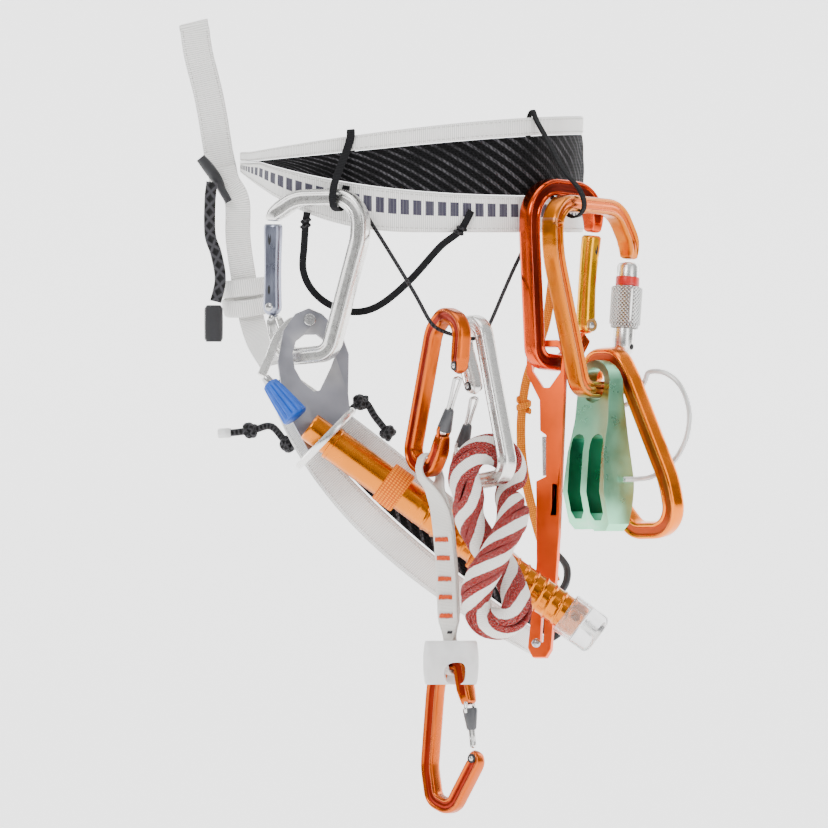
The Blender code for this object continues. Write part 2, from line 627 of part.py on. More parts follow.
crown = [SL + E_UP * (6.4 * math.cos(a)) + v3(0, 0, 7.4 * math.sin(a)) for a in (2.4, 1.57, 0.74)]
foot = [SB - E_LOW * (6.2 * math.cos(a)) - v3(0, 0, 6.3 * math.sin(a)) for a in (2.4, 1.57, 0.74)]
near = smooth(sling_side(-1), 3)
far = smooth(sling_side(1), 3)
line = near[::-1] + crown + far + foot
wide = []
for p in line:
    f = (SL.z - p.z) / (SL.z - SB.z)
    opened = min(max((f - 0.03) / 0.12, 0.0), 1.0)
    closed = min(max((f - 0.78) / 0.14, 0.0), 1.0)
    wide.append(6.4 + 6.1 * opened - 7.9 * closed)
turned = [min(max((SL.z - p.z) / 108, 0), 1) for p in line]
tape = [v3(0.574, -0.819, 0).lerp(v3(0.788, -0.616, 0), f) for f in turned]
emit("sling", band(line, tape, wide, SLING_T, True), WHITE, pivot=SL)

# rubber keeper: a flattened tube that squeezes the lower karabiner's end in the sling
RUB = v3(142.7, -160.4, -357.0)
ALONG_BAR = v3(0.788, -0.616, 0)


def oval(z, a, b, count=24):
    out = []
    for k in range(count):
        t = 2 * math.pi * (k + 0.5) / count
        c, d = math.cos(t), math.sin(t)
        c, d = math.copysign(abs(c) ** 0.6, c), math.copysign(abs(d) ** 0.6, d)
        out.append(RUB + ALONG_BAR * (a * c) + E_LOW * (b * d) + v3(0, 0, z))
    return out


rows = [oval(12.2, 13.6, 7.4), oval(12.2, 15.2, 8.8), oval(0, 17.2, 9.3), oval(-12.2, 17.0, 8.8),
        oval(-12.2, 15.8, 7.6), oval(0, 15.8, 7.9)]
emit("rubber_keeper", rings_to_mesh(bmesh.new(), rows, True), CLEAR, pivot=SL)

# ---------------------------------------------------------------- silver wire-gate karabiner
SW = Plane(160.0, -162.0, -55.0)
W_HINGE, W_NOSE = SW.at(155.5, -211.0), SW.at(148.6, -238.0)
kara_body("wiregate_karabiner_body", SW,
          [(148.3, -239.2), (147.5, -250.0), (155.0, -257.0), (175.5, -253.0), (160.5, -172.0),
           (155.0, -166.0), (148.5, -176.0), (156.3, -207.6)],
          [9.0, 8.0, 9.0, 10.0, 9.0, 12.0], STEEL, 4.2)
wire_gate("wiregate_karabiner_gate", W_HINGE, SW.at(152.0, -225.0), W_NOSE)

# ---------------------------------------------------------------- hank of accessory cord
BARS = SW.at(163.5, -255.0)
E1 = v3(math.sin(math.radians(55)), math.cos(math.radians(55)), 0)
E2 = v3(math.cos(math.radians(55)), -math.sin(math.radians(55)), 0)
HANK_R = 10.0
line = []
for k in range(9):
    a = math.pi * k / 8
    line.append(BARS + E1 * (16.8 * math.cos(a)) + v3(0, 0, 16.8 * math.sin(a)))
down, up = [], []
for k in range(1, 15):
    f = k / 14
    mid = BARS + v3(4.5 * f, -8.0 * min(1.0, f / 0.35), -70.0 * f)
    a = math.pi * 1.25 * max(0.0, (f - 0.14) / 0.86)
    r = 16.8 - 5.8 * math.sin(min(f * 2.2, 1.0) * math.pi / 2)
    side = E1 * math.cos(a) + E2 * math.sin(a)
    up.append(mid + side * r)
    down.append(mid - side * r)
low = BARS + v3(4.5, -8.0, -70.0)
turn = []
for k in range(1, 8):
    a = math.pi * k / 8
    turn.append(low - side * (11.0 * math.cos(a)) + v3(0, 0, -11.0 * math.sin(a)))
emit("cord_hank", cord(line + down + turn + up[::-1], HANK_R, 12, True), RED)

# ---------------------------------------------------------------- channel tool on karabiner A
TL = Plane(196.0, -108.2, -15.0, 0.12, -190.0)


def tool(x, z, out):
    return TL.at(x, z) + TL.normal * out


outline = [(185.2, -185.0), (189.0, -178.0), (203.0, -178.0), (207.0, -185.0), (206.6, -203.0),
           (204.6, -248.0), (203.3, -286.0), (198.8, -350.0), (196.0, -354.5), (188.6, -354.5),
           (186.0, -349.0), (190.9, -302.0), (190.6, -256.5), (196.2, -253.8), (196.2, -231.0),
           (192.8, -228.5), (192.6, -211.5), (185.4, -197.0)]
hole = [(187.4, -186.5), (190.0, -181.8), (202.4, -181.8), (205.0, -186.5), (204.0, -196.0),
        (198.0, -204.5), (194.5, -204.5), (188.4, -195.0)]
slit = [(199.6, -258.0), (201.8, -258.0), (201.4, -275.0), (199.2, -275.0)]
slit2 = [(193.6, -328.5), (195.4, -328.5), (194.6, -346.0), (192.8, -346.0)]
cuts = [prism(h, tool, -9, 9) for h in (hole, slit, slit2)]
channel = prism([(199.0, -207.0), (199.0, -322.0), (193.4, -322.0), (197.6, -256.0), (198.0, -207.0)],
                tool, 1.0, 9)
bm = combine(prism(outline, tool, -2.7, 2.7), [*cuts, channel], ["DIFFERENCE"] * 4)
emit("channel_tool_body", bm, ORANGE, 0.35, 1.0)
blade = [(193.4, -231.5), (195.7, -231.5), (195.7, -253.2), (193.8, -253.2)]
emit("channel_tool_blade", prism(blade, tool, -0.6, 0.6), STEEL, 0.3, 1.0)
T_PIN = tool(191.0, -346.5, 0.0)
prof = [(3.1, 0.0), (3.1, 2.6), (4.1, 2.2), (4.5, 0.0)]
emit("channel_tool_rivet", lathe(T_PIN, -TL.normal, prof, 12), STEEL, 0.3, 1.0)
hook = [tool(191.0, -346.5, 4.4), tool(192.5, -325.0, 4.4), tool(196.0, -262.0, 4.4),
        tool(198.2, -224.0, 4.4), tool(197.2, -219.0, 4.4), tool(195.0, -221.5, 4.4)]
emit("channel_tool_hook", cord(fillet(hook, [0, 0, 3, 1.5]), 1.1, 8), STEEL, 0.3, 1.0,
     pivot=tool(191.0, -346.5, 4.4))

# ---------------------------------------------------------------- ice screw
slope = math.radians(TUBE_SLOPE)
T_DIR = v3(math.cos(slope), 0, -math.sin(slope))
HEAD = v3(63.9, TUBE_Y, -225.6)
prof = [(0.0, 5.4), (0.0, 7.4), (1.0, 8.2), (15.0, 8.2), (15.6, TUBE_R), (TUBE_L - 8, TUBE_R),
        (TUBE_L, TUBE_R - 0.8), (TUBE_L, TUBE_BORE), (10.0, TUBE_BORE), (7.0, 5.4)]
emit("ice_screw_tube", lathe(HEAD, T_DIR, prof, 24), ORANGE, 0.25, 1.0)
prof = [(TUBE_L - 10, TUBE_R + GAP), (TUBE_L + 1.0, TUBE_R + GAP), (TUBE_L + 1.0, 0.0),
        (TUBE_L + 13, 0.0), (TUBE_L + 13, 9.0), (TUBE_L + 10, 11.6), (TUBE_L - 10, 11.9)]
cap = lathe(HEAD, T_DIR, prof[3:] + prof[:3], 24)
emit("ice_screw_cap", cap, CLEAR, 0.15, 0.0, pivot=HEAD + T_DIR * TUBE_L)

HG = Plane(72.8, TUBE_Y + 10.2, math.degrees(math.atan(0.157)), 0.216, -232.0)


def plate(x, z, out):
    return HG.at(x, z) + HG.normal * out


tip_dir = math.radians(TUBE_SLOPE + 8)
F_DIR = v3(math.cos(tip_dir), 0, -math.sin(tip_dir))
F_MID = HEAD + T_DIR * 11.5
outline = [(46.5, -190.0), (49.5, -173.0), (56.0, -163.5), (63.5, -160.4), (71.0, -163.6),
           (81.8, -174.6), (85.8, -186.0), (85.4, -208.0), (86.5, -218.0), (76.0, -231.0),
           (63.0, -239.0), (55.0, -224.0), (48.8, -207.0)]
hole = [(54.3, -186.0), (56.5, -178.5), (61.5, -174.6), (68.0, -174.6), (75.5, -180.5),
        (78.2, -187.0), (76.0, -193.0), (69.8, -206.0), (66.3, -206.8), (60.0, -201.5),
        (55.8, -194.0)]
base = prism(outline, plate, -1.5, 1.5)
disc = lathe(F_MID, F_DIR, [(-1.7, 0.0), (-1.7, 21.6), (-1.0, 22.4), (1.0, 22.4), (1.7, 21.6),
                            (1.7, 0.0)], 28)
bore = lathe(F_MID, T_DIR, [(-6, 0.0), (-6, 8.9), (6, 8.9), (6, 0.0)], 24)
bm = combine(base, [prism(hole, plate, -6, 6), disc, bore], ["DIFFERENCE", "UNION", "DIFFERENCE"])
emit("ice_screw_hanger", bm, GREY, 0.35, 1.0)
prof = [(1.9, 0.0), (1.9, 3.4), (2.9, 3.0), (3.3, 0.0)]
emit("ice_screw_rivet", lathe(plate(63.9, -167.0, 0), -HG.normal, prof, 14), STEEL, 0.3, 1.0)
arm = [plate(63.0, -166.5, 3.0), plate(54.5, -166.5, 3.0), plate(46.0, -176.0, 3.0),
       plate(41.8, -188.0, 3.0), plate(37.6, -197.5, 1.0)]
arm = fillet(arm, [5, 12, 12], 24)
emit("ice_screw_crank_arm", band(arm, [HG.normal.cross(t) for t in tangents(arm)], 5.0, 2.0),
     STEEL, 0.3, 1.0)
K_PIV = plate(40.0, -202.5, -8.6)
K_END = v3(56.5, TUBE_Y - 1.8, -220.5)
k_axis = K_END - K_PIV
n = k_axis.length
prof = [(-3.2, 0.0), (-3.2, 2.4), (0.6, 2.8), (1.2, 4.4), (n * 0.5, 6.2), (n - 1.2, 8.0),
        (n, 7.0), (n, 0.0)]
emit("ice_screw_crank_knob", lathe(K_PIV, k_axis, prof, 18), BLUE, 0.5, pivot=K_PIV)

# woven holders that carry the ice screw on the leg loop
for tag, along in (("upper", 58.0), ("lower", 122.0)):
    mid = HEAD + T_DIR * along
    prof = [(-6.5, TUBE_R + GAP), (-6.5, TUBE_R + 1.9), (6.5, TUBE_R + 1.9), (6.5, TUBE_R + GAP)]
    emit(f"screw_holder_{tag}", lathe(mid, T_DIR, prof, 24), HOLD)
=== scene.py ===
import json
import math
import random

import bpy
import bmesh
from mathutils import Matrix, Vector, noise

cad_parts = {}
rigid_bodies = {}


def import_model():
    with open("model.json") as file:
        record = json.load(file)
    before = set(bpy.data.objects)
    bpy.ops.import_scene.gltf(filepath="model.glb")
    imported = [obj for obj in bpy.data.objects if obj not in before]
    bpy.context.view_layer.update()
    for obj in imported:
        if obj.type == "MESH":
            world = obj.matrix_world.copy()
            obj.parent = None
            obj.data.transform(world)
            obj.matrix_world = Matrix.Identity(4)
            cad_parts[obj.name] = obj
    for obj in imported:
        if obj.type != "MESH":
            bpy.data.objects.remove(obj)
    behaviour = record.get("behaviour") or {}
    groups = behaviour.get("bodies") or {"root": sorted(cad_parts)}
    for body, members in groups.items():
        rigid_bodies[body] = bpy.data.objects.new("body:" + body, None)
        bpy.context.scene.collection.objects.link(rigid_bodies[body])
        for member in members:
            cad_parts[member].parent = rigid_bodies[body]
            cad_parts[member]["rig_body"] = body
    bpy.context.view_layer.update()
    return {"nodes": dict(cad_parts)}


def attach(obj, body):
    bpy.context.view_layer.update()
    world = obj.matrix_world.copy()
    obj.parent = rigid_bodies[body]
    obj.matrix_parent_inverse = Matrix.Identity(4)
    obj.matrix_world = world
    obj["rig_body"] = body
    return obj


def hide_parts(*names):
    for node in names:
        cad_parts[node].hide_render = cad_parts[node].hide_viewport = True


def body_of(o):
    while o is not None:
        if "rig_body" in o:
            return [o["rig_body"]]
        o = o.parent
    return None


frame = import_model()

MM = 0.001
random.seed(7)


# ---------------------------------------------------------------- camera, light and backdrop
def v3(x, y, z):
    return Vector((x, y, z))


cam_data = bpy.data.cameras.new("camera")
cam_data.type = "ORTHO"
cam_data.ortho_scale = 0.46
cam_data.clip_end = 20
cam = bpy.data.objects.new("camera", cam_data)
cam.location = (0.1222, -2.5, -0.2189)
cam.rotation_euler = (math.pi / 2, 0, 0)
bpy.context.scene.collection.objects.link(cam)
bpy.context.scene.camera = cam


def lamp(name, at, aim, size, watts):
    data = bpy.data.lights.new(name, "AREA")
    data.shape = "RECTANGLE"
    data.size, data.size_y = size
    data.energy = watts
    obj = bpy.data.objects.new(name, data)
    obj.location = at
    obj.rotation_mode = "QUATERNION"
    obj.rotation_quaternion = (Vector(aim) - Vector(at)).to_track_quat("-Z", "Y")
    bpy.context.scene.collection.objects.link(obj)


lamp("key", (-0.55, -1.5, 0.75), (0.12, -0.1, -0.2), (0.7, 0.7), 17)
lamp("fill", (1.25, -1.25, 0.05), (0.12, -0.1, -0.2), (0.6, 1.3), 9)
lamp("top", (0.12, -0.2, 1.1), (0.12, -0.1, -0.2), (1.2, 0.9), 10)
lamp("front_strip", (0.1, -1.7, -0.95), (0.12, -0.1, -0.25), (1.2, 0.4), 5)
lamp("rim_left", (-1.1, 0.5, -0.1), (0.12, 0, -0.2), (0.4, 1.2), 6)
lamp("rim_right", (1.3, 0.6, 0.1), (0.12, 0, -0.2), (0.4, 1.2), 6)

world = bpy.data.worlds.new("studio")
bpy.context.scene.world = world
world.use_nodes = True
wt = world.node_tree
wt.nodes.clear()
w_out = wt.nodes.new("ShaderNodeOutputWorld")
w_bg = wt.nodes.new("ShaderNodeBackground")
w_tc = wt.nodes.new("ShaderNodeTexCoord")
w_sep = wt.nodes.new("ShaderNodeSeparateXYZ")
w_ramp = wt.nodes.new("ShaderNodeValToRGB")
w_map = wt.nodes.new("ShaderNodeMapRange")
w_map.inputs[1].default_value = -1.0
w_map.inputs[2].default_value = 1.0
wt.links.new(w_tc.outputs["Generated"], w_sep.inputs[0])
wt.links.new(w_sep.outputs[2], w_map.inputs[0])
wt.links.new(w_map.outputs[0], w_ramp.inputs[0])
wt.links.new(w_ramp.outputs[0], w_bg.inputs[0])
wt.links.new(w_bg.outputs[0], w_out.inputs[0])
elements = w_ramp.color_ramp.elements
elements[0].position, elements[0].color = 0.0, (0.25, 0.25, 0.25, 1)
elements[1].position, elements[1].color = 1.0, (1.0, 1.0, 1.0, 1)
for at, grey in ((0.34, 0.3), (0.47, 0.12), (0.53, 0.16), (0.62, 0.7)):
    e = elements.new(at)
    e.color = (grey, grey, grey, 1)
w_bg.inputs[1].default_value = 0.8


# ---------------------------------------------------------------- material building blocks
def srgb(r, g, b):
    out = []
    for c in (r, g, b):
        c /= 255
        out.append(c / 12.92 if c <= 0.04045 else ((c + 0.055) / 1.055) ** 2.4)
    return (*out, 1.0)


class Nodes:
    """Short names for the shader nodes that the materials share."""

    def __init__(self, name, rough=0.5, metal=0.0):
        self.mat = bpy.data.materials.new(name)
        self.mat.use_nodes = True
        self.nt = self.mat.node_tree
        self.nt.nodes.clear()
        self.out = self.nt.nodes.new("ShaderNodeOutputMaterial")
        self.bsdf = self.nt.nodes.new("ShaderNodeBsdfPrincipled")
        self.nt.links.new(self.bsdf.outputs[0], self.out.inputs[0])
        self.set("Roughness", rough)
        self.set("Metallic", metal)

    def put(self, socket, value):
        if isinstance(value, bpy.types.NodeSocket):
            self.nt.links.new(value, socket)
        else:
            socket.default_value = value

    def set(self, name, value):
        self.put(self.bsdf.inputs[name], value)

    def uv(self, layer="UVMap"):
        n = self.nt.nodes.new("ShaderNodeUVMap")
        n.uv_map = layer
        s = self.nt.nodes.new("ShaderNodeSeparateXYZ")
        self.nt.links.new(n.outputs[0], s.inputs[0])
        return s.outputs[0], s.outputs[1]

    def place(self):
        return self.nt.nodes.new("ShaderNodeTexCoord").outputs["Object"]

    def xyz(self):
        s = self.nt.nodes.new("ShaderNodeSeparateXYZ")
        self.nt.links.new(self.place(), s.inputs[0])
        return s.outputs

    def math(self, op, a, b=0.0, c=0.0):
        n = self.nt.nodes.new("ShaderNodeMath")
        n.operation = op
        for k, value in enumerate((a, b, c)):
            self.put(n.inputs[k], value)
        return n.outputs[0]

    def wave(self, x, period):
        """0 to 1, a sine of x with that period in metres."""
        turns = self.math("MULTIPLY_ADD", x, 2 * math.pi / period)
        return self.math("MULTIPLY_ADD", self.math("SINE", turns), 0.5, 0.5)

    def vec(self, x, y, z=0.0):
        n = self.nt.nodes.new("ShaderNodeCombineXYZ")
        for k, value in enumerate((x, y, z)):
            self.put(n.inputs[k], value)
        return n.outputs[0]

    def noise(self, where, scale, detail=3.0, rough=0.55):
        n = self.nt.nodes.new("ShaderNodeTexNoise")
        self.put(n.inputs["Vector"], where)
        n.inputs["Scale"].default_value = scale
        n.inputs["Detail"].default_value = detail
        n.inputs["Roughness"].default_value = rough
        return n.outputs[0]

    def ramp(self, fac, low, high, lo=0.0, hi=1.0):
        n = self.nt.nodes.new("ShaderNodeMapRange")
        n.interpolation_type = "SMOOTHSTEP"
        for k, value in enumerate((fac, low, high, lo, hi)):
            self.put(n.inputs[k], value)
        return n.outputs[0]

    def mix(self, fac, a, b):
        n = self.nt.nodes.new("ShaderNodeMix")
        n.data_type = "RGBA"
        self.put(n.inputs[0], fac)
        self.put(n.inputs[6], a)
        self.put(n.inputs[7], b)
        return n.outputs[2]

    def bump(self, height, depth_mm):
        n = self.nt.nodes.new("ShaderNodeBump")
        n.inputs["Strength"].default_value = 1.0
        n.inputs["Distance"].default_value = depth_mm * MM
        self.put(n.inputs["Height"], height)
        self.set("Normal", n.outputs[0])

    # a mask of convex edges from pointiness, which the metal and plastic materials use for painted edge
    # highlights
    def edges(self, low=0.52, high=0.62):
        g = self.nt.nodes.new("ShaderNodeNewGeometry")
        return self.ramp(g.outputs["Pointiness"], low, high)


def dim(c, f):
    return (c[0] * f, c[1] * f, c[2] * f, 1.0)


def webbing(name, base, rib=1.15, groove=0.62, dashes=None):
    """Woven tape: weft ribs across it with painted shade in their grooves, a selvedge, soft patchy tone
    and, where asked, woven dashes.
    """
    n = Nodes(name, 0.85)
    u, v = n.uv()
    rv = n.uv("Rel")[1]
    ribs = n.wave(u, rib * MM)
    fibre = n.wave(v, 0.55 * MM)
    grain = n.noise(n.vec(u, v), 900, 3)
    cloud = n.noise(n.vec(u, v), 45, 2)
    height = n.math("ADD", n.math("MULTIPLY", ribs, 0.8), n.math("MULTIPLY", fibre, 0.25))
    height = n.math("ADD", height, n.math("MULTIPLY", grain, 0.5))
    # the grooves between the weft ribs are darkened by the groove factor: painted shade
    tone = n.mix(n.ramp(ribs, 0.0, 0.5), dim(base, groove), base)
    tone = n.mix(n.ramp(cloud, 0.35, 0.7, 0.0, 0.22), tone, dim(base, 0.72))
    side = n.math("ABSOLUTE", n.math("SUBTRACT", rv, 0.5))
    tone = n.mix(n.ramp(side, 0.455, 0.475, 0.0, 0.45), tone, dim(base, 0.5))
    tone = n.mix(n.ramp(side, 0.48, 0.492, 0.0, 0.6), tone, base)
    if dashes:
        colour, pitch, wide, low, high = dashes
        turns = n.math("FRACT", n.math("DIVIDE", u, pitch * MM))
        inside = n.math("LESS_THAN", turns, wide / pitch)
        band_low = n.math("GREATER_THAN", rv, low)
        band_high = n.math("LESS_THAN", rv, high)
        mask = n.math("MULTIPLY", inside, n.math("MULTIPLY", band_low, band_high))
        weave = n.ramp(n.wave(u, 0.8 * MM), 0.0, 0.6, 0.85, 1.0)
        tone = n.mix(n.math("MULTIPLY", mask, weave), tone, colour)
    n.set("Base Color", tone)
    n.set("Specular IOR Level", 0.15)
    n.set("Sheen Weight", 0.15 if base[0] > 0.3 else 0.02)
    n.set("Sheen Roughness", 0.5)
    n.bump(height, 0.16)
    return n.mat


def mesh_cloth(name, base, streak):
    """Open black spacer mesh with paler diagonal streaks between its rows of holes."""
    n = Nodes(name, 0.8)
    u, v = n.uv()
    row = n.math("MULTIPLY", v, 1.0 / (1.5 * MM))
    shift = n.math("MULTIPLY", n.math("FRACT", n.math("MULTIPLY", row, 0.5)), 1.1 * MM)
    a = n.wave(n.math("ADD", u, shift), 2.2 * MM)
    b = n.wave(v, 1.5 * MM)
    holes = n.math("MULTIPLY", a, b)
    lean = n.math("MULTIPLY_ADD", v, 1.5, u)
    streaks = n.math("MULTIPLY", n.ramp(n.wave(lean, 9 * MM), 0.62, 0.95), n.ramp(a, 0.3, 0.7, 0.35, 1.0))
    cloud = n.noise(n.vec(u, v), 60, 2)
    # the holes are darkened to a quarter of the base colour: painted shade in the holes
    tone = n.mix(n.ramp(holes, 0.25, 0.6), dim(base, 1.5), dim(base, 0.25))
    tone = n.mix(n.math("MULTIPLY", streaks, n.ramp(cloud, 0.35, 0.65, 0.2, 0.8)), tone, streak)
    n.set("Base Color", tone)
    n.set("Specular IOR Level", 0.1)
    n.bump(n.math("SUBTRACT", 1.0, holes), 0.35)
    return n.mat


def braid(name, base, crown_highlight, pitch=2.4, around=2.0, gloss=0.6):
    """A plaited cord: strands cross both ways round it, with painted highlight on their crowns and painted
    shade between them.
    """
    n = Nodes(name, gloss)
    u, rv = n.uv()[0], n.uv("Rel")[1]
    turn = n.math("MULTIPLY", rv, 2 * math.pi * around)
    along = n.math("MULTIPLY", u, 2 * math.pi / (pitch * MM))
    a = n.math("SINE", n.math("ADD", along, turn))
    b = n.math("SINE", n.math("SUBTRACT", along, turn))
    top = n.math("MAXIMUM", a, b)
    grain = n.noise(n.vec(u, rv), 700, 2)
    # strand crowns take the paler tone and the gaps between strands a darkened base: painted highlight and
    # painted shade
    tone = n.mix(n.ramp(top, 0.1, 0.95), dim(base, 0.35), crown_highlight)
    tone = n.mix(n.ramp(grain, 0.3, 0.7, 0.0, 0.35), tone, dim(base, 0.6))
    n.set("Base Color", tone)
    n.set("Specular IOR Level", 0.2)
    n.bump(top, 0.28)
    return n.mat


def two_tone_tape(name, middle, border):
    """A tape with a pale ribbed middle and dark flecked borders."""
    n = Nodes(name, 0.8)
    u, v = n.uv()
    rv = n.uv("Rel")[1]
    turn = n.math("ABSOLUTE", n.math("SUBTRACT", rv, 0.5))
    wobble = n.math("MULTIPLY", n.math("SUBTRACT", n.noise(n.vec(u, v), 500, 2), 0.5), 0.03)
    side = n.ramp(n.math("ADD", turn, wobble), 0.074, 0.084)
    ribs = n.wave(u, 0.9 * MM)
    plait = n.math("MAXIMUM", n.math("SINE", n.math("MULTIPLY_ADD", u, 2500.0,
                                                    n.math("MULTIPLY", rv, 80.0))),
                   n.math("SINE", n.math("SUBTRACT", n.math("MULTIPLY", u, 2500.0),
                                         n.math("MULTIPLY", rv, 80.0))))
    # the grooves between the ribs of the pale middle are darkened: painted shade
    pale = n.mix(n.ramp(ribs, 0.0, 0.6), dim(middle, 0.74), middle)
    flecks = n.ramp(n.noise(n.vec(n.math("MULTIPLY", u, 0.6), rv), 900, 1), 0.6, 0.68)
    # the gaps in the plait of the borders are darkened: painted shade
    dark = n.mix(n.ramp(plait, 0.2, 0.9), dim(border, 0.35), border)
    dark = n.mix(n.math("MULTIPLY", flecks, 0.75), dark, dim(middle, 0.8))
    n.set("Base Color", n.mix(side, pale, dark))
    n.set("Specular IOR Level", 0.15)
    n.bump(n.math("ADD", n.math("MULTIPLY", ribs, 0.4), n.math("MULTIPLY", plait, 0.5)), 0.22)
    return n.mat


# the pale grey that convex anodised edges are mixed towards: a painted edge highlight
EDGE_HIGHLIGHT = (0.75, 0.72, 0.7, 1)


def anodised(name, base, rough=0.24, coat=0.15, bright=1.06):
    """Coloured anodised aluminium: even tint, fine satin grain and paler edges, which are a painted
    highlight.
    """
    n = Nodes(name, rough, 1.0)
    where = n.place()
    grain = n.noise(where, 2600, 2)
    cloud = n.noise(where, 55, 3)
    tone = n.mix(n.ramp(cloud, 0.3, 0.7), dim(base, 0.94), dim(base, bright))
    # convex edges are mixed a third of the way to pale grey: a painted edge highlight
    tone = n.mix(n.math("MULTIPLY", n.edges(0.53, 0.66), 0.35), tone, EDGE_HIGHLIGHT)
    scratch = n.ramp(n.noise(where, 420, 5, 0.75), 0.66, 0.74, 0.0, 0.02)
    tone = n.mix(scratch, tone, dim(base, 1.6))
    n.set("Base Color", tone)
    n.set("Roughness", n.ramp(cloud, 0.2, 0.8, rough * 0.8, rough * 1.35))
    n.set("Coat Weight", coat)
    n.set("Coat Roughness", 0.12)
    n.bump(grain, 0.008)
    return n.mat


def bare_metal(name, base, rough=0.2, grain_mm=0.015):
    n = Nodes(name, rough, 1.0)
    where = n.place()
    x, y, z = n.xyz()
    cloud = n.noise(where, 70, 3)
    fine = n.noise(n.vec(n.math("MULTIPLY", x, 3.0), n.math("MULTIPLY", y, 3.0), z), 1500, 3)
    tone = n.mix(n.ramp(cloud, 0.3, 0.7), dim(base, 0.95), base)
    # convex edges are mixed towards near-white: a painted edge highlight
    tone = n.mix(n.math("MULTIPLY", n.edges(0.53, 0.66), 0.4), tone, (0.95, 0.95, 0.94, 1))
    n.set("Base Color", tone)
    n.set("Roughness", n.ramp(n.noise(where, 240, 4, 0.7), 0.3, 0.75, rough * 0.95, rough * 1.2))
    n.bump(fine, grain_mm)
    return n.mat


def plastic(name, base, rough=0.45, edge_highlight_and_speck=0.3):
    n = Nodes(name, rough)
    where = n.place()
    cloud = n.noise(where, 90, 3)
    tone = n.mix(n.ramp(cloud, 0.3, 0.7), dim(base, 0.85), dim(base, 1.12))
    # convex edges are lightened towards 2.2 times the base colour: a painted edge highlight
    tone = n.mix(n.math("MULTIPLY", n.edges(0.53, 0.64), edge_highlight_and_speck), tone, dim(base, 2.2))
    n.set("Base Color", tone)
    n.set("Roughness", n.ramp(n.noise(where, 300, 2), 0.3, 0.7, rough * 0.85, rough * 1.2))
    n.bump(n.noise(where, 1800, 2), 0.02)
    return n.mat


def clear(name, base, through=0.7, rough=0.25):
    n = Nodes(name, rough)
    where = n.place()
    cloud = n.noise(where, 120, 2)
    n.set("Base Color", n.mix(n.ramp(cloud, 0.3, 0.7), dim(base, 0.9), base))
    n.set("Transmission Weight", through)
    n.set("IOR", 1.42)
    n.set("Roughness", n.ramp(cloud, 0.3, 0.7, rough * 0.7, rough * 1.3))
    n.bump(n.noise(where, 500, 2), 0.03)
    return n.mat


def thread(name, base):
    n = Nodes(name, 0.6)
    where = n.place()
    n.set("Base Color", n.mix(n.ramp(n.noise(where, 1500, 2), 0.3, 0.7), dim(base, 0.75), base))
    n.bump(n.noise(where, 3500, 2), 0.05)
    return n.mat


def ribbed_elastic(name, base, dark, pitch=1.6):
    """Woven elastic: bold cords along it crossed by finer picks."""
    n = Nodes(name, 0.7)
    u, v = n.uv()
    a = n.wave(u, pitch * MM)
    b = n.wave(v, pitch * 0.8 * MM)
    bob = n.math("MULTIPLY", a, b)
    cloud = n.noise(n.vec(u, v), 80, 2)
    # where the cords and picks dip, the tone falls to the darker colour: painted shade
    tone = n.mix(n.ramp(bob, 0.0, 0.55), dark, base)
    tone = n.mix(n.ramp(cloud, 0.4, 0.7, 0.0, 0.3), tone, dim(base, 0.7))
    n.set("Base Color", tone)
    n.set("Specular IOR Level", 0.15)
    n.bump(bob, 0.25)
    return n.mat


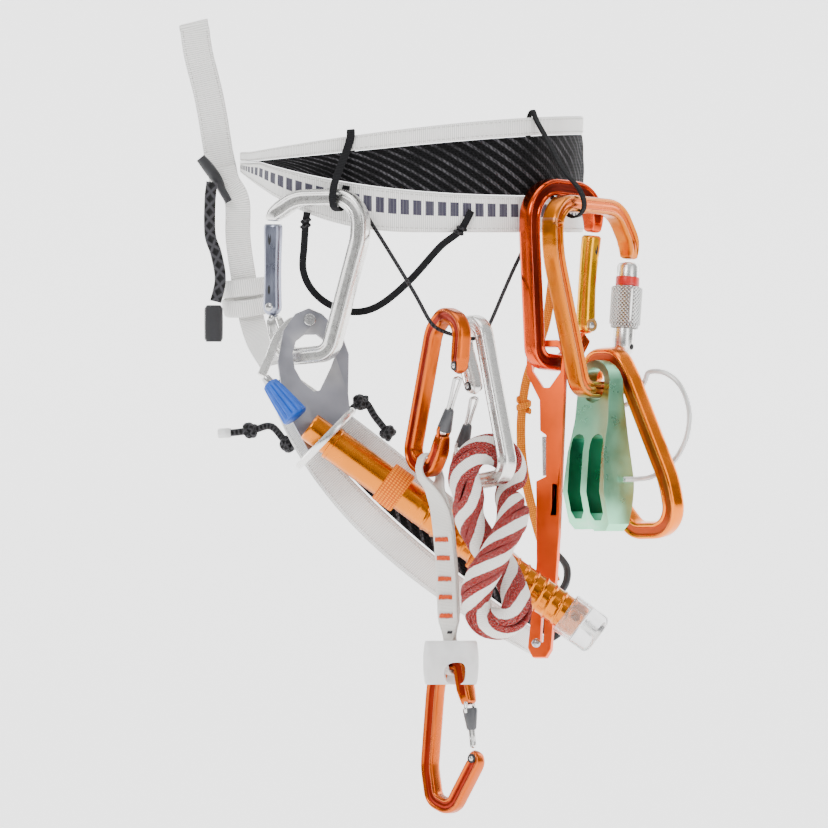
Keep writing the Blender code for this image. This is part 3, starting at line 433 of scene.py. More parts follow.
WHITE = srgb(250, 249, 246)
M = {
    "web": webbing("white_webbing", WHITE),
    "web_dash": webbing("white_webbing_dashed", WHITE, dashes=(srgb(42, 38, 60), 6.94, 4.7, 0.42, 0.78)),
    "tape": webbing("sling_tape", srgb(232, 230, 224), rib=0.8, groove=0.78),
    "mesh": mesh_cloth("black_mesh", srgb(10, 10, 11), srgb(92, 90, 94)),
    "strap": webbing("black_webbing", srgb(27, 27, 29), rib=1.0, groove=0.5),
    "black_cord": braid("black_cord", srgb(24, 24, 26), srgb(58, 57, 60)),
    "plait": braid("black_plait", srgb(22, 22, 24), srgb(70, 69, 73), pitch=7.5, around=1.0, gloss=0.5),
    "plastic": plastic("black_plastic", srgb(34, 34, 37)),
    "cone": plastic("cone_plastic", srgb(64, 64, 67), 0.35),
    "elastic": ribbed_elastic("orange_elastic", srgb(252, 156, 40), srgb(206, 104, 16), 1.2),
    "holder": ribbed_elastic("woven_holder", srgb(255, 146, 14), srgb(200, 84, 4), 1.9),
    "silver": bare_metal("silver_aluminium", srgb(236, 235, 232), 0.26),
    "wire": bare_metal("steel_wire", srgb(205, 204, 202), 0.14),
    "steel": bare_metal("steel", srgb(190, 190, 190), 0.24),
    "gate_grey": anodised("grey_gate", srgb(140, 144, 162), 0.3, coat=0.1),
    "hanger": anodised("grey_hanger", srgb(140, 140, 147), 0.42, coat=0.0, bright=1.15),
    "orange": anodised("orange_anodised", srgb(196, 86, 2), 0.26),
    # groove_red, dark_red_groove and brown_groove are the darker tones of the karabiners' sunk webs:
    # painted shade
    "deep_red": anodised("groove_red", srgb(150, 40, 18), 0.34),
    "red": anodised("red_anodised", srgb(214, 74, 14), 0.22),
    "dark_red": anodised("dark_red_groove", srgb(120, 34, 16), 0.36),
    "gold": anodised("gold_anodised", srgb(250, 176, 12)),
    "b_orange": anodised("bright_orange_anodised", srgb(198, 106, 0), 0.26),
    "c_orange": anodised("rim_orange_anodised", srgb(246, 126, 10), 0.22),
    "c_web": anodised("brown_groove", srgb(168, 62, 16), 0.36),
    "tube": anodised("tube_anodised", srgb(218, 120, 0), 0.24, coat=0.2),
    "tool": anodised("tool_anodised", srgb(244, 94, 26), 0.34),
    "green": anodised("green_anodised", srgb(146, 222, 180), 0.3),
    # the darker green is painted shade for the belay device's slots
    "deep_green": anodised("green_recess", srgb(24, 120, 84), 0.3),
    "blue": plastic("blue_plastic", srgb(0, 78, 178), 0.45, 0.1),
    "ring_red": plastic("red_ring", srgb(196, 30, 24), 0.35),
    "clear": clear("clear_rubber", (0.95, 0.95, 0.94, 1), 0.35, 0.4),
    "cap": clear("clear_cap", (0.95, 0.95, 0.95, 1), 0.9, 0.12),
    "cable": clear("clear_cable", (0.93, 0.94, 0.93, 1), 0.6, 0.2),
    "hank": two_tone_tape("striped_cord", srgb(236, 232, 226), srgb(150, 26, 22)),
    "thread_white": thread("white_thread", srgb(214, 212, 208)),
    "thread_black": thread("black_thread", srgb(30, 30, 32)),
    "thread_orange": thread("orange_thread", srgb(232, 92, 40)),
    # near-black used as painted shade in the karabiner eyes, the gate slots and the ice screw's bore; the
    # lock gates' hinge rivets are this colour too
    "dark": plastic("dark_recess", srgb(20, 20, 22), 0.6),
    "orange_bit": plastic("orange_bit", srgb(238, 110, 40), 0.45),
}


# ---------------------------------------------------------------- geometry helpers, all in mm
def fillet(points, radii, step=7.0):
    """An open polyline whose inner corners are rounded with the given radii."""
    out = [points[0]]
    for i in range(1, len(points) - 1):
        p, r = points[i], radii[i - 1]
        a, b = (points[i - 1] - p).normalized(), (points[i + 1] - p).normalized()
        half = a.angle(b) / 2
        turn = math.pi - 2 * half
        if r <= 0 or turn < 0.03:
            out.append(p)
            continue
        reach = r / math.tan(half)
        centre = p + (a + b).normalized() * (r / math.sin(half))
        start, end = p + a * reach - centre, p + b * reach - centre
        n = max(1, math.ceil(math.degrees(turn) / step))
        for k in range(n + 1):
            f = k / n
            w1 = math.sin((1 - f) * turn) / math.sin(turn)
            w2 = math.sin(f * turn) / math.sin(turn)
            out.append(centre + start * w1 + end * w2)
    out.append(points[-1])
    return out


def smooth(points, per=6, closed=False):
    """A Catmull-Rom curve through the points."""
    out = []
    n = len(points)
    for i in range(n if closed else n - 1):
        if closed:
            p0, p1, p2, p3 = (points[(i + k) % n] for k in (-1, 0, 1, 2))
        else:
            p0, p1 = points[max(i - 1, 0)], points[i]
            p2, p3 = points[i + 1], points[min(i + 2, n - 1)]
        for k in range(per):
            t = k / per
            a = 2 * p1 + (p2 - p0) * t
            b = (2 * p0 - 5 * p1 + 4 * p2 - p3) * t * t
            c = (3 * p1 - p0 - 3 * p2 + p3) * t ** 3
            out.append((a + b + c) * 0.5)
    if not closed:
        out.append(points[-1])
    return out


def even(points, step, closed=False):
    """The same line with a point every step mm, evenly spaced."""
    pts = list(points) + ([points[0]] if closed else [])
    lengths = [0.0]
    for a, b in zip(pts, pts[1:]):
        lengths.append(lengths[-1] + (b - a).length)
    total = lengths[-1]
    n = max(2, round(total / step))
    out, k = [], 0
    for i in range(n if closed else n + 1):
        s = total * i / n
        while k < len(lengths) - 2 and lengths[k + 1] < s:
            k += 1
        f = (s - lengths[k]) / max(lengths[k + 1] - lengths[k], 1e-9)
        out.append(pts[k].lerp(pts[k + 1], f))
    return out


def tangents(points, closed=False):
    n = len(points)
    out = []
    for i in range(n):
        if closed:
            a, b = points[i - 1], points[(i + 1) % n]
        else:
            a, b = points[max(i - 1, 0)], points[min(i + 1, n - 1)]
        out.append((b - a).normalized())
    return out


def run_length(points, closed=False):
    out = [0.0]
    pts = list(points) + ([points[0]] if closed else [])
    for a, b in zip(pts, pts[1:]):
        out.append(out[-1] + (b - a).length)
    return out


def add(name, mesh, mat, body="harness", slot=None, nodes=(), angle=35.0):
    mesh.shade_smooth()
    mesh.set_sharp_from_angle(angle=math.radians(angle))
    obj = bpy.data.objects.new(name, mesh)
    bpy.context.scene.collection.objects.link(obj)
    for m in mat if isinstance(mat, (list, tuple)) else [mat]:
        obj.data.materials.append(M[m])
    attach(obj, body)
    if nodes:
        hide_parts(*nodes)
    return obj


def skin(name, rings, us, vs, mat, closed=False, tube=True, rel=None, **kw):
    """Rings of points to one mesh, with UVs in metres and a second layer from 0 to 1 across."""
    n, m = len(rings), len(rings[0])
    verts = [p * MM for ring in rings for p in ring]
    faces, uvs, rels = [], [], []
    rel = rel or [j / m for j in range(m + 1)]
    total = us[-1] if us[-1] else 1.0
    for i in range(n if closed else n - 1):
        i2 = (i + 1) % n
        for j in range(m if tube else m - 1):
            j2 = (j + 1) % m
            faces.append((i * m + j, i * m + j2, i2 * m + j2, i2 * m + j))
            for a, b in ((i, j), (i, j + 1), (i + 1, j + 1), (i + 1, j)):
                uvs += [us[a] * MM, vs[b] * MM]
                rels += [us[a] / total, rel[b]]
    if not closed and tube:
        for i, flip in ((0, True), (n - 1, False)):
            ring = list(range(i * m, i * m + m))
            faces.append(tuple(ring[::-1] if flip else ring))
            for j in (ring[::-1] if flip else ring):
                uvs += [us[i] * MM, vs[j - i * m] * MM]
                rels += [us[i] / total, rel[j - i * m]]
    mesh = bpy.data.meshes.new(name)
    mesh.from_pydata(verts, [], faces)
    for layer, values in (("UVMap", uvs), ("Rel", rels)):
        mesh.uv_layers.new(name=layer).data.foreach_set("uv", values)
    bm = bmesh.new()
    bm.from_mesh(mesh)
    if tube and bm.calc_volume(signed=True) < 0:
        bmesh.ops.reverse_faces(bm, faces=bm.faces)
    bm.to_mesh(mesh)
    bm.free()
    return add(name, mesh, mat, **kw)


def strap_profile(w, h, crown=0.0, n=6):
    """Half width and half thickness to a closed outline with rolled edges, as (a, b) pairs."""
    out = []
    e = min(h, w * 0.5)
    for k in range(n + 1):
        a = -w + e + (2 * w - 2 * e) * k / n
        out.append((a, h + crown * (1 - (a / w) ** 2)))
    for k in (1, 2, 3):
        t = math.pi * k / 4
        out.append((w - e + e * math.sin(t), h * math.cos(t)))
    for k in range(n + 1):
        a = w - e - (2 * w - 2 * e) * k / n
        out.append((a, -h - crown * (1 - (a / w) ** 2)))
    for k in (1, 2, 3):
        t = math.pi * k / 4
        out.append((-w + e - e * math.sin(t), -h * math.cos(t)))
    return out


def strap(name, line, across, width, thick, mat="web", closed=False, crown=0.0, step=1.2, **kw):
    """A flat strap along line; across is one direction or one per point."""
    src_len = run_length(line, closed)
    total = src_len[-1]
    pts = even(line, step, closed)
    tan = tangents(pts, closed)
    n_src = len(line)

    def pick(values, s):
        if not isinstance(values, list):
            return values
        k = 0
        while k < n_src - 2 and src_len[k + 1] < s:
            k += 1
        f = min(1.0, max(0.0, (s - src_len[k]) / max(src_len[k + 1] - src_len[k], 1e-9)))
        a, b = values[k], values[min(k + 1, n_src - 1)]
        return a.lerp(b, f) if isinstance(a, Vector) else a + (b - a) * f

    rings = []
    us = run_length(pts, closed)
    prof = None
    for i, p in enumerate(pts):
        s = total * i / (len(pts) if closed else len(pts) - 1)
        side = pick(across, s)
        side = (side - tan[i] * side.dot(tan[i])).normalized()
        flat = tan[i].cross(side).normalized()
        w, h = pick(width, s) / 2, pick(thick, s) / 2
        prof = strap_profile(w, h, crown)
        rings.append([p + side * a + flat * b for a, b in prof])
    vs = [a for a, b in prof] + [prof[0][0]]
    w = max(vs)
    rel = [0.5 + a / (2 * w) for a in vs]
    return skin(name, rings, us, vs, mat, closed, rel=rel, **kw)


def tube(name, line, radius, mat, sides=14, flat=1.0, **kw):
    """A round cord; radius is one number, or a function of the share along."""
    tan = tangents(line)
    up = Vector((0, 0, 1)) if abs(tan[0].z) < 0.9 else Vector((1, 0, 0))
    side = tan[0].cross(up).normalized()
    rings = []
    us = run_length(line)
    for i, p in enumerate(line):
        side = (side - tan[i] * side.dot(tan[i])).normalized()
        other = tan[i].cross(side)
        r = radius(us[i] / us[-1]) if callable(radius) else radius
        ring = []
        for k in range(sides):
            a = 2 * math.pi * k / sides
            ring.append(p + side * math.cos(a) * r + other * math.sin(a) * r * flat)
        rings.append(ring)
    r0 = 2.0 if callable(radius) else radius
    vs = [2 * math.pi * r0 * k / sides for k in range(sides + 1)]
    return skin(name, rings, us, vs, mat, **kw)


def turned(name, start, axis, profile, mat, sides=40, hollow=False, **kw):
    """A turned piece: profile is (distance along, radius) pairs; a hollow one closes on itself."""
    axis = axis.normalized()
    side = axis.orthogonal().normalized()
    other = axis.cross(side)
    rings, us = [], [0.0]
    last = None
    for along, r in profile:
        r = max(r, 0.02)
        c = start + axis * along
        rings.append([c + (side * math.cos(2 * math.pi * k / sides)
                           + other * math.sin(2 * math.pi * k / sides)) * r for k in range(sides)])
        if last:
            us.append(us[-1] + math.hypot(along - last[0], r - last[1]))
        last = (along, r)
    if hollow:
        us.append(us[-1] + math.hypot(profile[0][0] - last[0], profile[0][1] - last[1]))
    top = max(r for _, r in profile)
    vs = [2 * math.pi * top * k / sides for k in range(sides + 1)]
    return skin(name, rings, us, vs, mat, hollow, **kw)


def stitches(name, pts, normals, mat, pitch=2.7, long=1.9, r=0.24, body="harness", slot=None):
    """A row of short thread stitches laid along a line on a surface."""
    line = even(pts, pitch / 2)
    bm = bmesh.new()
    span = len(pts) - 1
    for i in range(0, len(line) - 1, 2):
        a, b = line[i], line[i + 1]
        t = (b - a).normalized()
        k = min(span, round(i / (len(line) - 1) * span))
        n = normals[k].normalized() if isinstance(normals, list) else normals.normalized()
        s = t.cross(n).normalized()
        mid = (a + b) / 2
        rings = []
        for f, q in ((-0.5, 0.35), (-0.32, 0.9), (0.0, 1.0), (0.32, 0.9), (0.5, 0.35)):
            c = mid + t * (long * f) + n * (r * (0.9 * q - 0.35))
            rings.append([bm.verts.new((c + (s * math.cos(2 * math.pi * m / 6)
                                             + n * math.sin(2 * math.pi * m / 6)) * r * q) * MM)
                          for m in range(6)])
        for ra, rb in zip(rings, rings[1:]):
            for m in range(6):
                bm.faces.new((ra[m], ra[(m + 1) % 6], rb[(m + 1) % 6], rb[m]))
        bm.faces.new(rings[0][::-1])
        bm.faces.new(rings[-1])
    mesh = bpy.data.meshes.new(name)
    bm.to_mesh(mesh)
    bm.free()
    return add(name, mesh, mat, body=body, slot=slot, angle=60)


def from_node(node, mat, name, bevel, segments):
    """The CAD node's own shape with rounded edges, in its place."""
    src = frame["nodes"][node]
    mesh = src.data.copy()
    mesh.materials.clear()
    bm = bmesh.new()
    bm.from_mesh(mesh)
    bmesh.ops.remove_doubles(bm, verts=bm.verts, dist=0.00002)
    bmesh.ops.dissolve_limit(bm, angle_limit=math.radians(1.0), verts=bm.verts, edges=bm.edges)
    bm.to_mesh(mesh)
    bm.free()
    obj = bpy.data.objects.new(name, mesh)
    obj.matrix_world = src.matrix_world.copy()
    bpy.context.scene.collection.objects.link(obj)
    for m in mat if isinstance(mat, (list, tuple)) else [mat]:
        obj.data.materials.append(M[m])
    mod = obj.modifiers.new("edges", "BEVEL")
    mod.width = bevel * MM
    mod.segments = segments
    mod.limit_method = "ANGLE"
    mod.angle_limit = math.radians(28)
    mod.harden_normals = True
    mesh.shade_smooth()
    mesh.set_sharp_from_angle(angle=math.radians(35))
    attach(obj, body_of(src)[0])
    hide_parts(node)
    return obj


# ---------------------------------------------------------------- waist belt
BELT_X, BELT_A, BELT_B = 121.0, 94.0, 120.0
BELT_FRONT, BELT_BACK = 31.0, 213.0
WEB_T, MESH_T, GAP = 2.0, 1.2, 0.4


def share(x):
    return min(max((BELT_BACK - x) / (BELT_BACK - BELT_FRONT), 0.0), 1.0)


def top_edge(x):
    return -53.3 - 20.0 * share(x) ** 1.6


def top_band_low(x):
    return top_edge(x) - 10.0 + 5.0 * share(x) ** 3


def low_band_top(x):
    return min(-98.0 + 20.5 * share(x) ** 2.8, top_band_low(x) - 1.2)


def low_edge(x):
    return -118.0 + 30.0 * max((130.0 - x) / 100.0, 0.0) ** 2.6


def belt_point(turn, out=0.0):
    c, s = math.cos(turn), math.sin(turn)
    p = Vector((BELT_X + BELT_A * math.copysign(abs(c) ** (2 / 3), c),
                BELT_B * math.copysign(abs(s) ** (2 / 3), s), 0.0))
    grad = Vector(((abs(p.x - BELT_X) / BELT_A) ** 2 / BELT_A * math.copysign(1, c),
                   (abs(p.y) / BELT_B) ** 2 / BELT_B * math.copysign(1, s), 0.0))
    return p + grad.normalized() * out


def belt_y(x, out=0.0):
    f = min(abs(x - BELT_X) / BELT_A, 1.0)
    return -BELT_B * (1 - f ** 3) ** (1 / 3) - out


def belt_at(low, high):
    def where(turn, s, out):
        p = belt_point(turn, out)
        lo, hi = low(p.x), high(p.x)
        p.z = lo + (hi - lo) * s
        return p
    return where


def ring_profile(h, n=8, crown=0.0, edge=0.05):
    """The closed section of a band that goes right round: (share of its height, offset out)."""
    out = []
    for k in range(n + 1):
        s = edge + (1 - 2 * edge) * k / n
        out.append((s, h + crown * (1 - (2 * s - 1) ** 2)))
    out += [(1 - edge * 0.3, h * 0.7), (1.0, 0.0), (1 - edge * 0.3, -h * 0.7)]
    for k in range(n + 1):
        s = 1 - edge - (1 - 2 * edge) * k / n
        out.append((s, -h - crown * 0.5 * (1 - (2 * s - 1) ** 2)))
    out += [(edge * 0.3, -h * 0.7), (0.0, 0.0), (edge * 0.3, h * 0.7)]
    return out


def ring_band(name, where, thick, height, mat, node, slot, crown=0.0, count=420, ripple=0.0, edge=0.05):
    prof = ring_profile(thick / 2, 8, crown, edge)
    turns = [2 * math.pi * (i + 0.5) / count for i in range(count)]
    rings = []
    for t in turns:
        ring = []
        for s, o in prof:
            p = where(t, s, o)
            if ripple:
                q = where(t, s, 0)
                lift = ripple * noise.noise(Vector((q.x * 0.06, q.y * 0.06, q.z * 0.09)))
                p = where(t, s, o + lift * (1 - abs(2 * s - 1) * 0.6))
            ring.append(p)
        rings.append(ring)
    us = run_length([where(t, 0.5, thick / 2) for t in turns], True)
    vs = [s * height for s, o in prof] + [prof[0][0] * height]
    rel = [s for s, o in prof] + [prof[0][0]]
    return skin(name, rings, us, vs, mat, True, rel=rel, nodes=(node,), slot=slot)


def ring_stitches(name, where, s, out, mat, count=500, **kw):
    turns = [2 * math.pi * k / count for k in range(count + 1)]
    pts = [where(t, s, out) for t in turns]
    normals = [where(t, s, out + 1) - where(t, s, out) for t in turns]
    return stitches(name, pts, normals, mat, **kw)


TOP = belt_at(top_band_low, top_edge)
MID = belt_at(lambda x: low_band_top(x) + GAP, lambda x: top_band_low(x) - GAP)
LOW = belt_at(low_edge, low_band_top)
ring_band("belt_top_tape", TOP, WEB_T, 9.5, "web", "belt_top_band", "white_webbing",
          0.25, ripple=0.5, edge=0.09)
mesh_panel = ring_band("belt_mesh_cloth", MID, MESH_T, 30, "mesh", "belt_mesh_panel", "black_mesh",
                       0.9, ripple=1.2, edge=0.02)
ring_band("belt_lower_tape", LOW, WEB_T, 20, "web_dash", "belt_lower_band", "white_webbing",
          0.35, ripple=0.6)
ring_stitches("belt_top_stitch_high", TOP, 0.84, 1.25, "thread_white")
ring_stitches("belt_top_stitch_low", TOP, 0.14, 1.25, "thread_white")
ring_stitches("belt_low_stitch_high", LOW, 0.92, 1.3, "thread_white")
ring_stitches("belt_low_stitch_low", LOW, 0.1, 1.3, "thread_white")

# ---------------------------------------------------------------- tie-in loop, risers and girth hitch
loop_line = [v3(0.5, 0, -6), v3(2.5, 0, -19.4), v3(8.6, 0, -44.4), v3(13.6, 0, -74.0)]
front = smooth([p + v3(0, -4.0, 0) for p in loop_line], 8)
back = smooth([p + v3(0, 4.0, 0) for p in loop_line], 8)
over = [v3(-0.2, 4.0 * math.sin(a), -5.8 + 4.0 * math.cos(a)) for a in (-0.9, -0.45, 0.0, 0.45, 0.9)]
under = [v3(16.2, 4.8 * math.sin(a), -84.6 - 4.8 * math.cos(a)) for a in (-1.2, -0.8, -0.4, 0.0, 0.4, 0.8,
                                                                          1.2)]
tie = smooth(over + back + under[::-1] + front[::-1], 3, True)
strap("tie_in_webbing", tie, v3(1, 0, 0.25), 16.4, 1.7, "web", True, nodes=("tie_in_loop",),
      slot="white_webbing")
for s, tag in ((-6.6, "front"), (6.6, "rear")):
    line = [p + v3(s, -0.95, 0) for p in front]
    stitches("tie_in_stitch_" + tag, line[::-1], v3(0, -1, 0), "thread_white", 2.6, 1.8, 0.22)

for sign, tag in ((-1, "left"), (1, "right")):
    line = smooth([v3(16.5, sign * 7.5, -82), v3(18.5, sign * 7.5, -90), v3(24.0, sign * 7.5, -101),
                   v3(24.5, sign * 7.5, -122), v3(28, sign * 7.5, -146),
                   v3(32, sign * 7.8, -166), v3(36.5, sign * 22, -180), v3(43, sign * 46, -191)], 8)
    strap("riser_webbing_" + tag, line, v3(1, 0, 0.15), 14.0, 2.0, "web", crown=0.15,
          nodes=("riser_" + tag,), slot="white_webbing")

wrap = []
for k in range(28):
    a = 2 * math.pi * k / 28
    wrap.append(v3(29.3 + 12.6 * math.cos(a), 13.2 * math.sin(a), -154.0 + 1.5 * math.cos(a)))
for k, (dz, wide) in enumerate(((5.4, 9.6), (-4.6, 9.6))):
    line = [p + v3(0.5 if k else -0.5, 0, dz + (1.6 * math.sin(i / 28 * 2 * math.pi) if k else 0.0))
            for i, p in enumerate(wrap)]
    strap(f"girth_hitch_turn_{k + 1}", line, v3(-0.2, 0, 1), wide, 2.0, "web", True, crown=0.35, step=0.8,
          nodes=("girth_hitch",), slot="white_webbing")

# ---------------------------------------------------------------- lanyard at the front
line = smooth([v3(3.5, -14, -76.5), v3(8, -14, -82), v3(13, -14, -89), v3(16, -14, -95),
               v3(19.4, -14, -101)], 6)
tube("toggle_barrel", line, lambda f: 2.1 + 1.15 * math.sin(math.pi * min(1.0, f * 1.25 + 0.1)) ** 0.7
     if f < 0.72 else 2.2 - 0.5 * (f - 0.72), "plastic", 24, nodes=("toggle_peg",), slot="black_plastic")
line = smooth([v3(10.0, -20.5, -90.0), v3(8.9, -20.5, -100), v3(8.9, -20.5, -118.9),
               v3(12.3, -20.5, -130), v3(14.6, -20.5, -144), v3(12.0, -20.5, -156.5)], 8)
lanyard = strap("lanyard_plait", line, v3(1, 0, 0.1), 6.4, 2.8, "plait", crown=0.2, step=0.7,
                nodes=("lanyard_braid",), slot="black_cord")
tip = [v3(10.9, -20.5, -158.4), v3(10.9, -20.5, -160.2), v3(10.9, -20.5, -168), v3(10.9, -20.5, -177),
       v3(10.9, -20.5, -178.8)]
cap_piece = strap("lanyard_cap", tip, v3(1, 0, 0), [7.6, 10.2, 10.4, 10.2, 8.2], 4.8, "plastic",
                  crown=0.2, step=0.5, nodes=("lanyard_end_cap",), slot="black_plastic")

# ---------------------------------------------------------------- leg loops
LOW_EDGE = (v3(41.0, 0, -205.0), v3(70.0, 0, -292.0), v3(190.0, 0, -354.0))
TOP_EDGE = (v3(55.0, 0, -197.0), v3(121.0, 0, -240.0), v3(214.0, 0, -330.0))
LEG_Y, LEG_B = 65.0, 60.0


def bow(curve, t):
    a, b, c = curve
    return a * (1 - t) ** 2 + b * (2 * t * (1 - t)) + c * t * t


def leg_point(turn, sign, across, out=0.0):
    def mid(a):
        t = (1 + math.cos(a)) / 2
        p = bow(LOW_EDGE, t).lerp(bow(TOP_EDGE, t), across)
        return p + v3(0, sign * LEG_Y + LEG_B * math.sin(a), 0)

    t = (1 + math.cos(turn)) / 2
    width = bow(TOP_EDGE, t) - bow(LOW_EDGE, t)
    normal = (mid(turn + 0.01) - mid(turn - 0.01)).cross(width).normalized()
    return mid(turn) + normal * out


def leg_at(sign, low, high):
    def where(turn, s, out):
        return leg_point(turn, sign, low + (high - low) * s, out)
    return where


def outward(where):
    """leg_point's offset runs one way round; this tells which way is out."""
    p = where(math.pi / 2, 0.5, 1.0) - where(math.pi / 2, 0.5, 0.0)
    return 1.0 if p.y > 0 else -1.0


for sign, tag in ((-1, "left"), (1, "right")):
    for part, low, high, thick, height, mat, slot, crown, ripple in (
            ("lower_band", 0.0, 0.37, WEB_T, 19, "web", "white_webbing", 0.3, 0.7),
            ("mesh", 0.39, 0.69, MESH_T, 15, "mesh", "black_mesh", 0.6, 1.0),
            ("upper_band", 0.71, 1.0, WEB_T, 15, "web", "white_webbing", 0.3, 0.7)):
        where = leg_at(sign, low, high)
        piece = ring_band(f"leg_{tag}_{part}_cloth", where, thick, height, mat, f"leg_{tag}_{part}",
                          slot, crown, 300, ripple)
        if part == "mesh":
            continue
        o = outward(where)
        for s in (0.13, 0.87):
            ring_stitches(f"leg_{tag}_{part}_stitch_{int(s * 100)}", where, s, o * 1.32, "thread_white",
                          count=300)

    y = sign * 1.0
    way = smooth([v3(17.5, y * 70, -229.5), v3(24.4, y * 71, -229), v3(34, y * 73, -227.5),
                  v3(43.3, y * 76, -226), v3(53.9, y * 84, -236.5), v3(66, y * 93, -233),
                  v3(80, y * 99, -224), v3(93.3, y * 105, -212), v3(101, y * 107, -221),
                  v3(108.9, y * 108, -231)], 8)
    line = even(way, 1.0)
    at = run_length(line)
    knot_at = [at[-1] * f for f in (0.115, 0.345, 0.47, 0.79, 0.985)]
    rope = tube(f"leg_{tag}_closure_rope", line, 2.0, "black_cord", 14, nodes=(f"leg_{tag}_closure_cord",),
                slot="black_cord")
    for k, s in enumerate(knot_at):
        i = min(range(len(line)), key=lambda j: abs(at[j] - s))
        c = line[i]
        t = tangents(line)[i]
        n1 = t.orthogonal().normalized()
        n2 = t.cross(n1)
        knot = []
        for m in range(49):
            a = 2 * math.pi * 2 * m / 48
            w = 0.5 * math.sin(a * 1.5 + 0.6)
            knot.append(c + n1 * math.cos(a) * 2.9 + n2 * math.sin(a) * 2.9
                        + t * ((m / 48 - 0.5) * 4.6 + w))
        tube(f"leg_{tag}_knot_{k + 1}", knot, 1.75, "black_cord", 10, slot="black_cord")
    end_t = (line[0] - line[3]).normalized()
    tip_piece = turned(f"leg_{tag}_cord_end", line[0] - end_t * 3.0, end_t,
                       [(0, 0.4), (0, 2.5), (1, 2.8), (6.4, 2.7), (7.2, 2.2), (7.4, 0.4)], "clear", 24,
                       slot="clear_rubber")
    [tuple(p * MM) for p in line[::-1]]

    line = smooth([v3(203.5, y * 72, -111), v3(199, y * 70, -145), v3(195, y * 69, -170),
                   v3(184, y * 69, -203), v3(182, y * 70, -240), v3(190, y * 70, -280),
                   v3(201, y * 69, -312)], 8)
    strap(f"rear_elastic_{tag}", line, v3(1, 0, 0.3), 5.0, 1.8, "elastic", crown=0.2,
          nodes=(f"rear_riser_{tag}",), slot="orange_elastic")
    c = v3(183.2, y * 69.2, -214)
    knot = []
    for m in range(41):
        a = 2 * math.pi * 1.6 * m / 40
        knot.append(c + v3(math.cos(a) * 3.4, math.sin(a) * 2.4, (m / 40 - 0.5) * 7))
    strap(f"rear_elastic_knot_{tag}", knot, v3(0, 0, 1), 3.6, 1.4, "elastic", crown=0.2, step=0.8,
          slot="orange_elastic")
    hook = smooth([v3(201.5, y * 64.5, -296), v3(207, y * 62.5, -304), v3(206.5, y * 64, -313),
                   v3(201, y * 66, -322), v3(206, y * 66, -327)], 8)
    tube(f"rear_hook_shape_{tag}", hook, lambda f: 2.6 - 0.9 * abs(2 * f - 1) ** 3, "plastic", 18,
         flat=0.8,
         nodes=(f"rear_hook_{tag}",), slot="black_plastic")

# ---------------------------------------------------------------- gear loops and keeper straps
for sign, tag in ((-1, "left"), (1, "right")):
    pts = [(62.8, -106.8, 3.4), (62.0, -113, 3.4), (61.2, -125.0, 2.0), (60.6, -138.9, 0.0),
           (65.6, -150.0, -3), (75.6, -158.3, -7), (89.5, -162.2, -8), (103.3, -158.3, -7),
           (120.0, -144.5, -3), (136.7, -126.0, 1.6), (147.8, -117.0, 3.4), (154.0, -106.0, 3.4)]
    line = smooth([v3(x, -sign * belt_y(x, o), z) for x, z, o in pts], 8)
    flat = [t.cross(v3(0, 1, 0)) for t in tangents(line)]
    strap(f"gear_loop_tape_{tag}", line, flat, 4.0, 1.3, "strap", nodes=(f"gear_loop_{tag}",),
          slot="black_webbing")
    for k, f in enumerate((0.1, 0.92)):
        i = int(f * (len(line) - 1))
        t = tangents(line)[i]
        loop = []
        for m in range(37):
            a = 2 * math.pi * 1.5 * m / 36
            loop.append(line[i] + flat[i].normalized() * math.cos(a) * 2.1
                        + v3(0, sign, 0) * (math.sin(a) * 1.1) + t * ((m / 36 - 0.5) * 4.6))
        tube(f"gear_loop_knot_{tag}_{k + 1}", loop, 1.0, "black_cord", 10, slot="black_webbing")

line = smooth([v3(84.6, -120.8, -92), v3(83.4, -121.0, -98.5), v3(82.3, -123.0, -103.8),
               v3(80.0, -127.0, -105.7), v3(77.7, -131.2, -103.8), v3(76.9, -133.3, -98.6),
               v3(78, -131.8, -91), v3(81.5, -126.5, -81), v3(85, -121.8, -72),
               v3(87.0, -121.0, -65.0), v3(87.0, -118.1, -61.2), v3(87.0, -114.9, -65.0),
               v3(87.0, -114.8, -74)], 8)
side = [v3(1, 0, 0.1).lerp(v3(0.89, -0.45, 0), min(max((-70 - p.z) / 20, 0.0), 1.0)) for p in line]
strap("keeper_front_tape", line, side, 4.6, 1.2, "strap", nodes=("keeper_strap_front",),
      slot="black_webbing", step=0.7)
line = smooth([v3(185.6, -100.4, -66), v3(185.7, -100.8, -56), v3(188.0, -103.3, -50.4),
               v3(190.4, -106.0, -56), v3(197.0, -112, -68), v3(205.0, -119.0, -83),
               v3(214.0, -124.4, -94.0), v3(216.8, -124.0, -102.3), v3(215.0, -122.7, -107.4),
               v3(211.0, -120.0, -109.5), v3(207.0, -117.3, -107.4), v3(205.0, -114.0, -102.8),
               v3(204.4, -108.0, -101.0), v3(202.0, -101.0, -100.6), v3(198.0, -96.6, -97.0),
               v3(198.2, -95.9, -88)], 6)
strap("keeper_rear_tape", line, v3(0.62, 0.77, 0.1), 4.0, 1.2, "strap", nodes=("keeper_strap_rear",),
      slot="black_webbing", step=0.7)

line = smooth([v3(95.0, belt_y(95, 3.6), -107), v3(98.0, -124.5, -112), v3(108, -134, -128),
               v3(122, -153, -151), v3(130.5, -167.5, -166.5), v3(134.6, -170.1, -171),
               v3(139.5, -166.7, -173.4), v3(144.4, -163.5, -175.0), v3(150.9, -159.4, -176.6),
               v3(155.8, -156, -177), v3(160.7, -152.6, -175.5), v3(166, -139, -165),
               v3(172, -123, -151), v3(178, -108, -137.5), v3(183.9, -103.6, -126),
               v3(189.0, -102.8, -120.4)], 8)
thin = tube("thin_cord", line, 1.1, "black_cord", 10, nodes=("thin_gear_cord",), slot="black_cord")
run_length(line)[-1] * MM


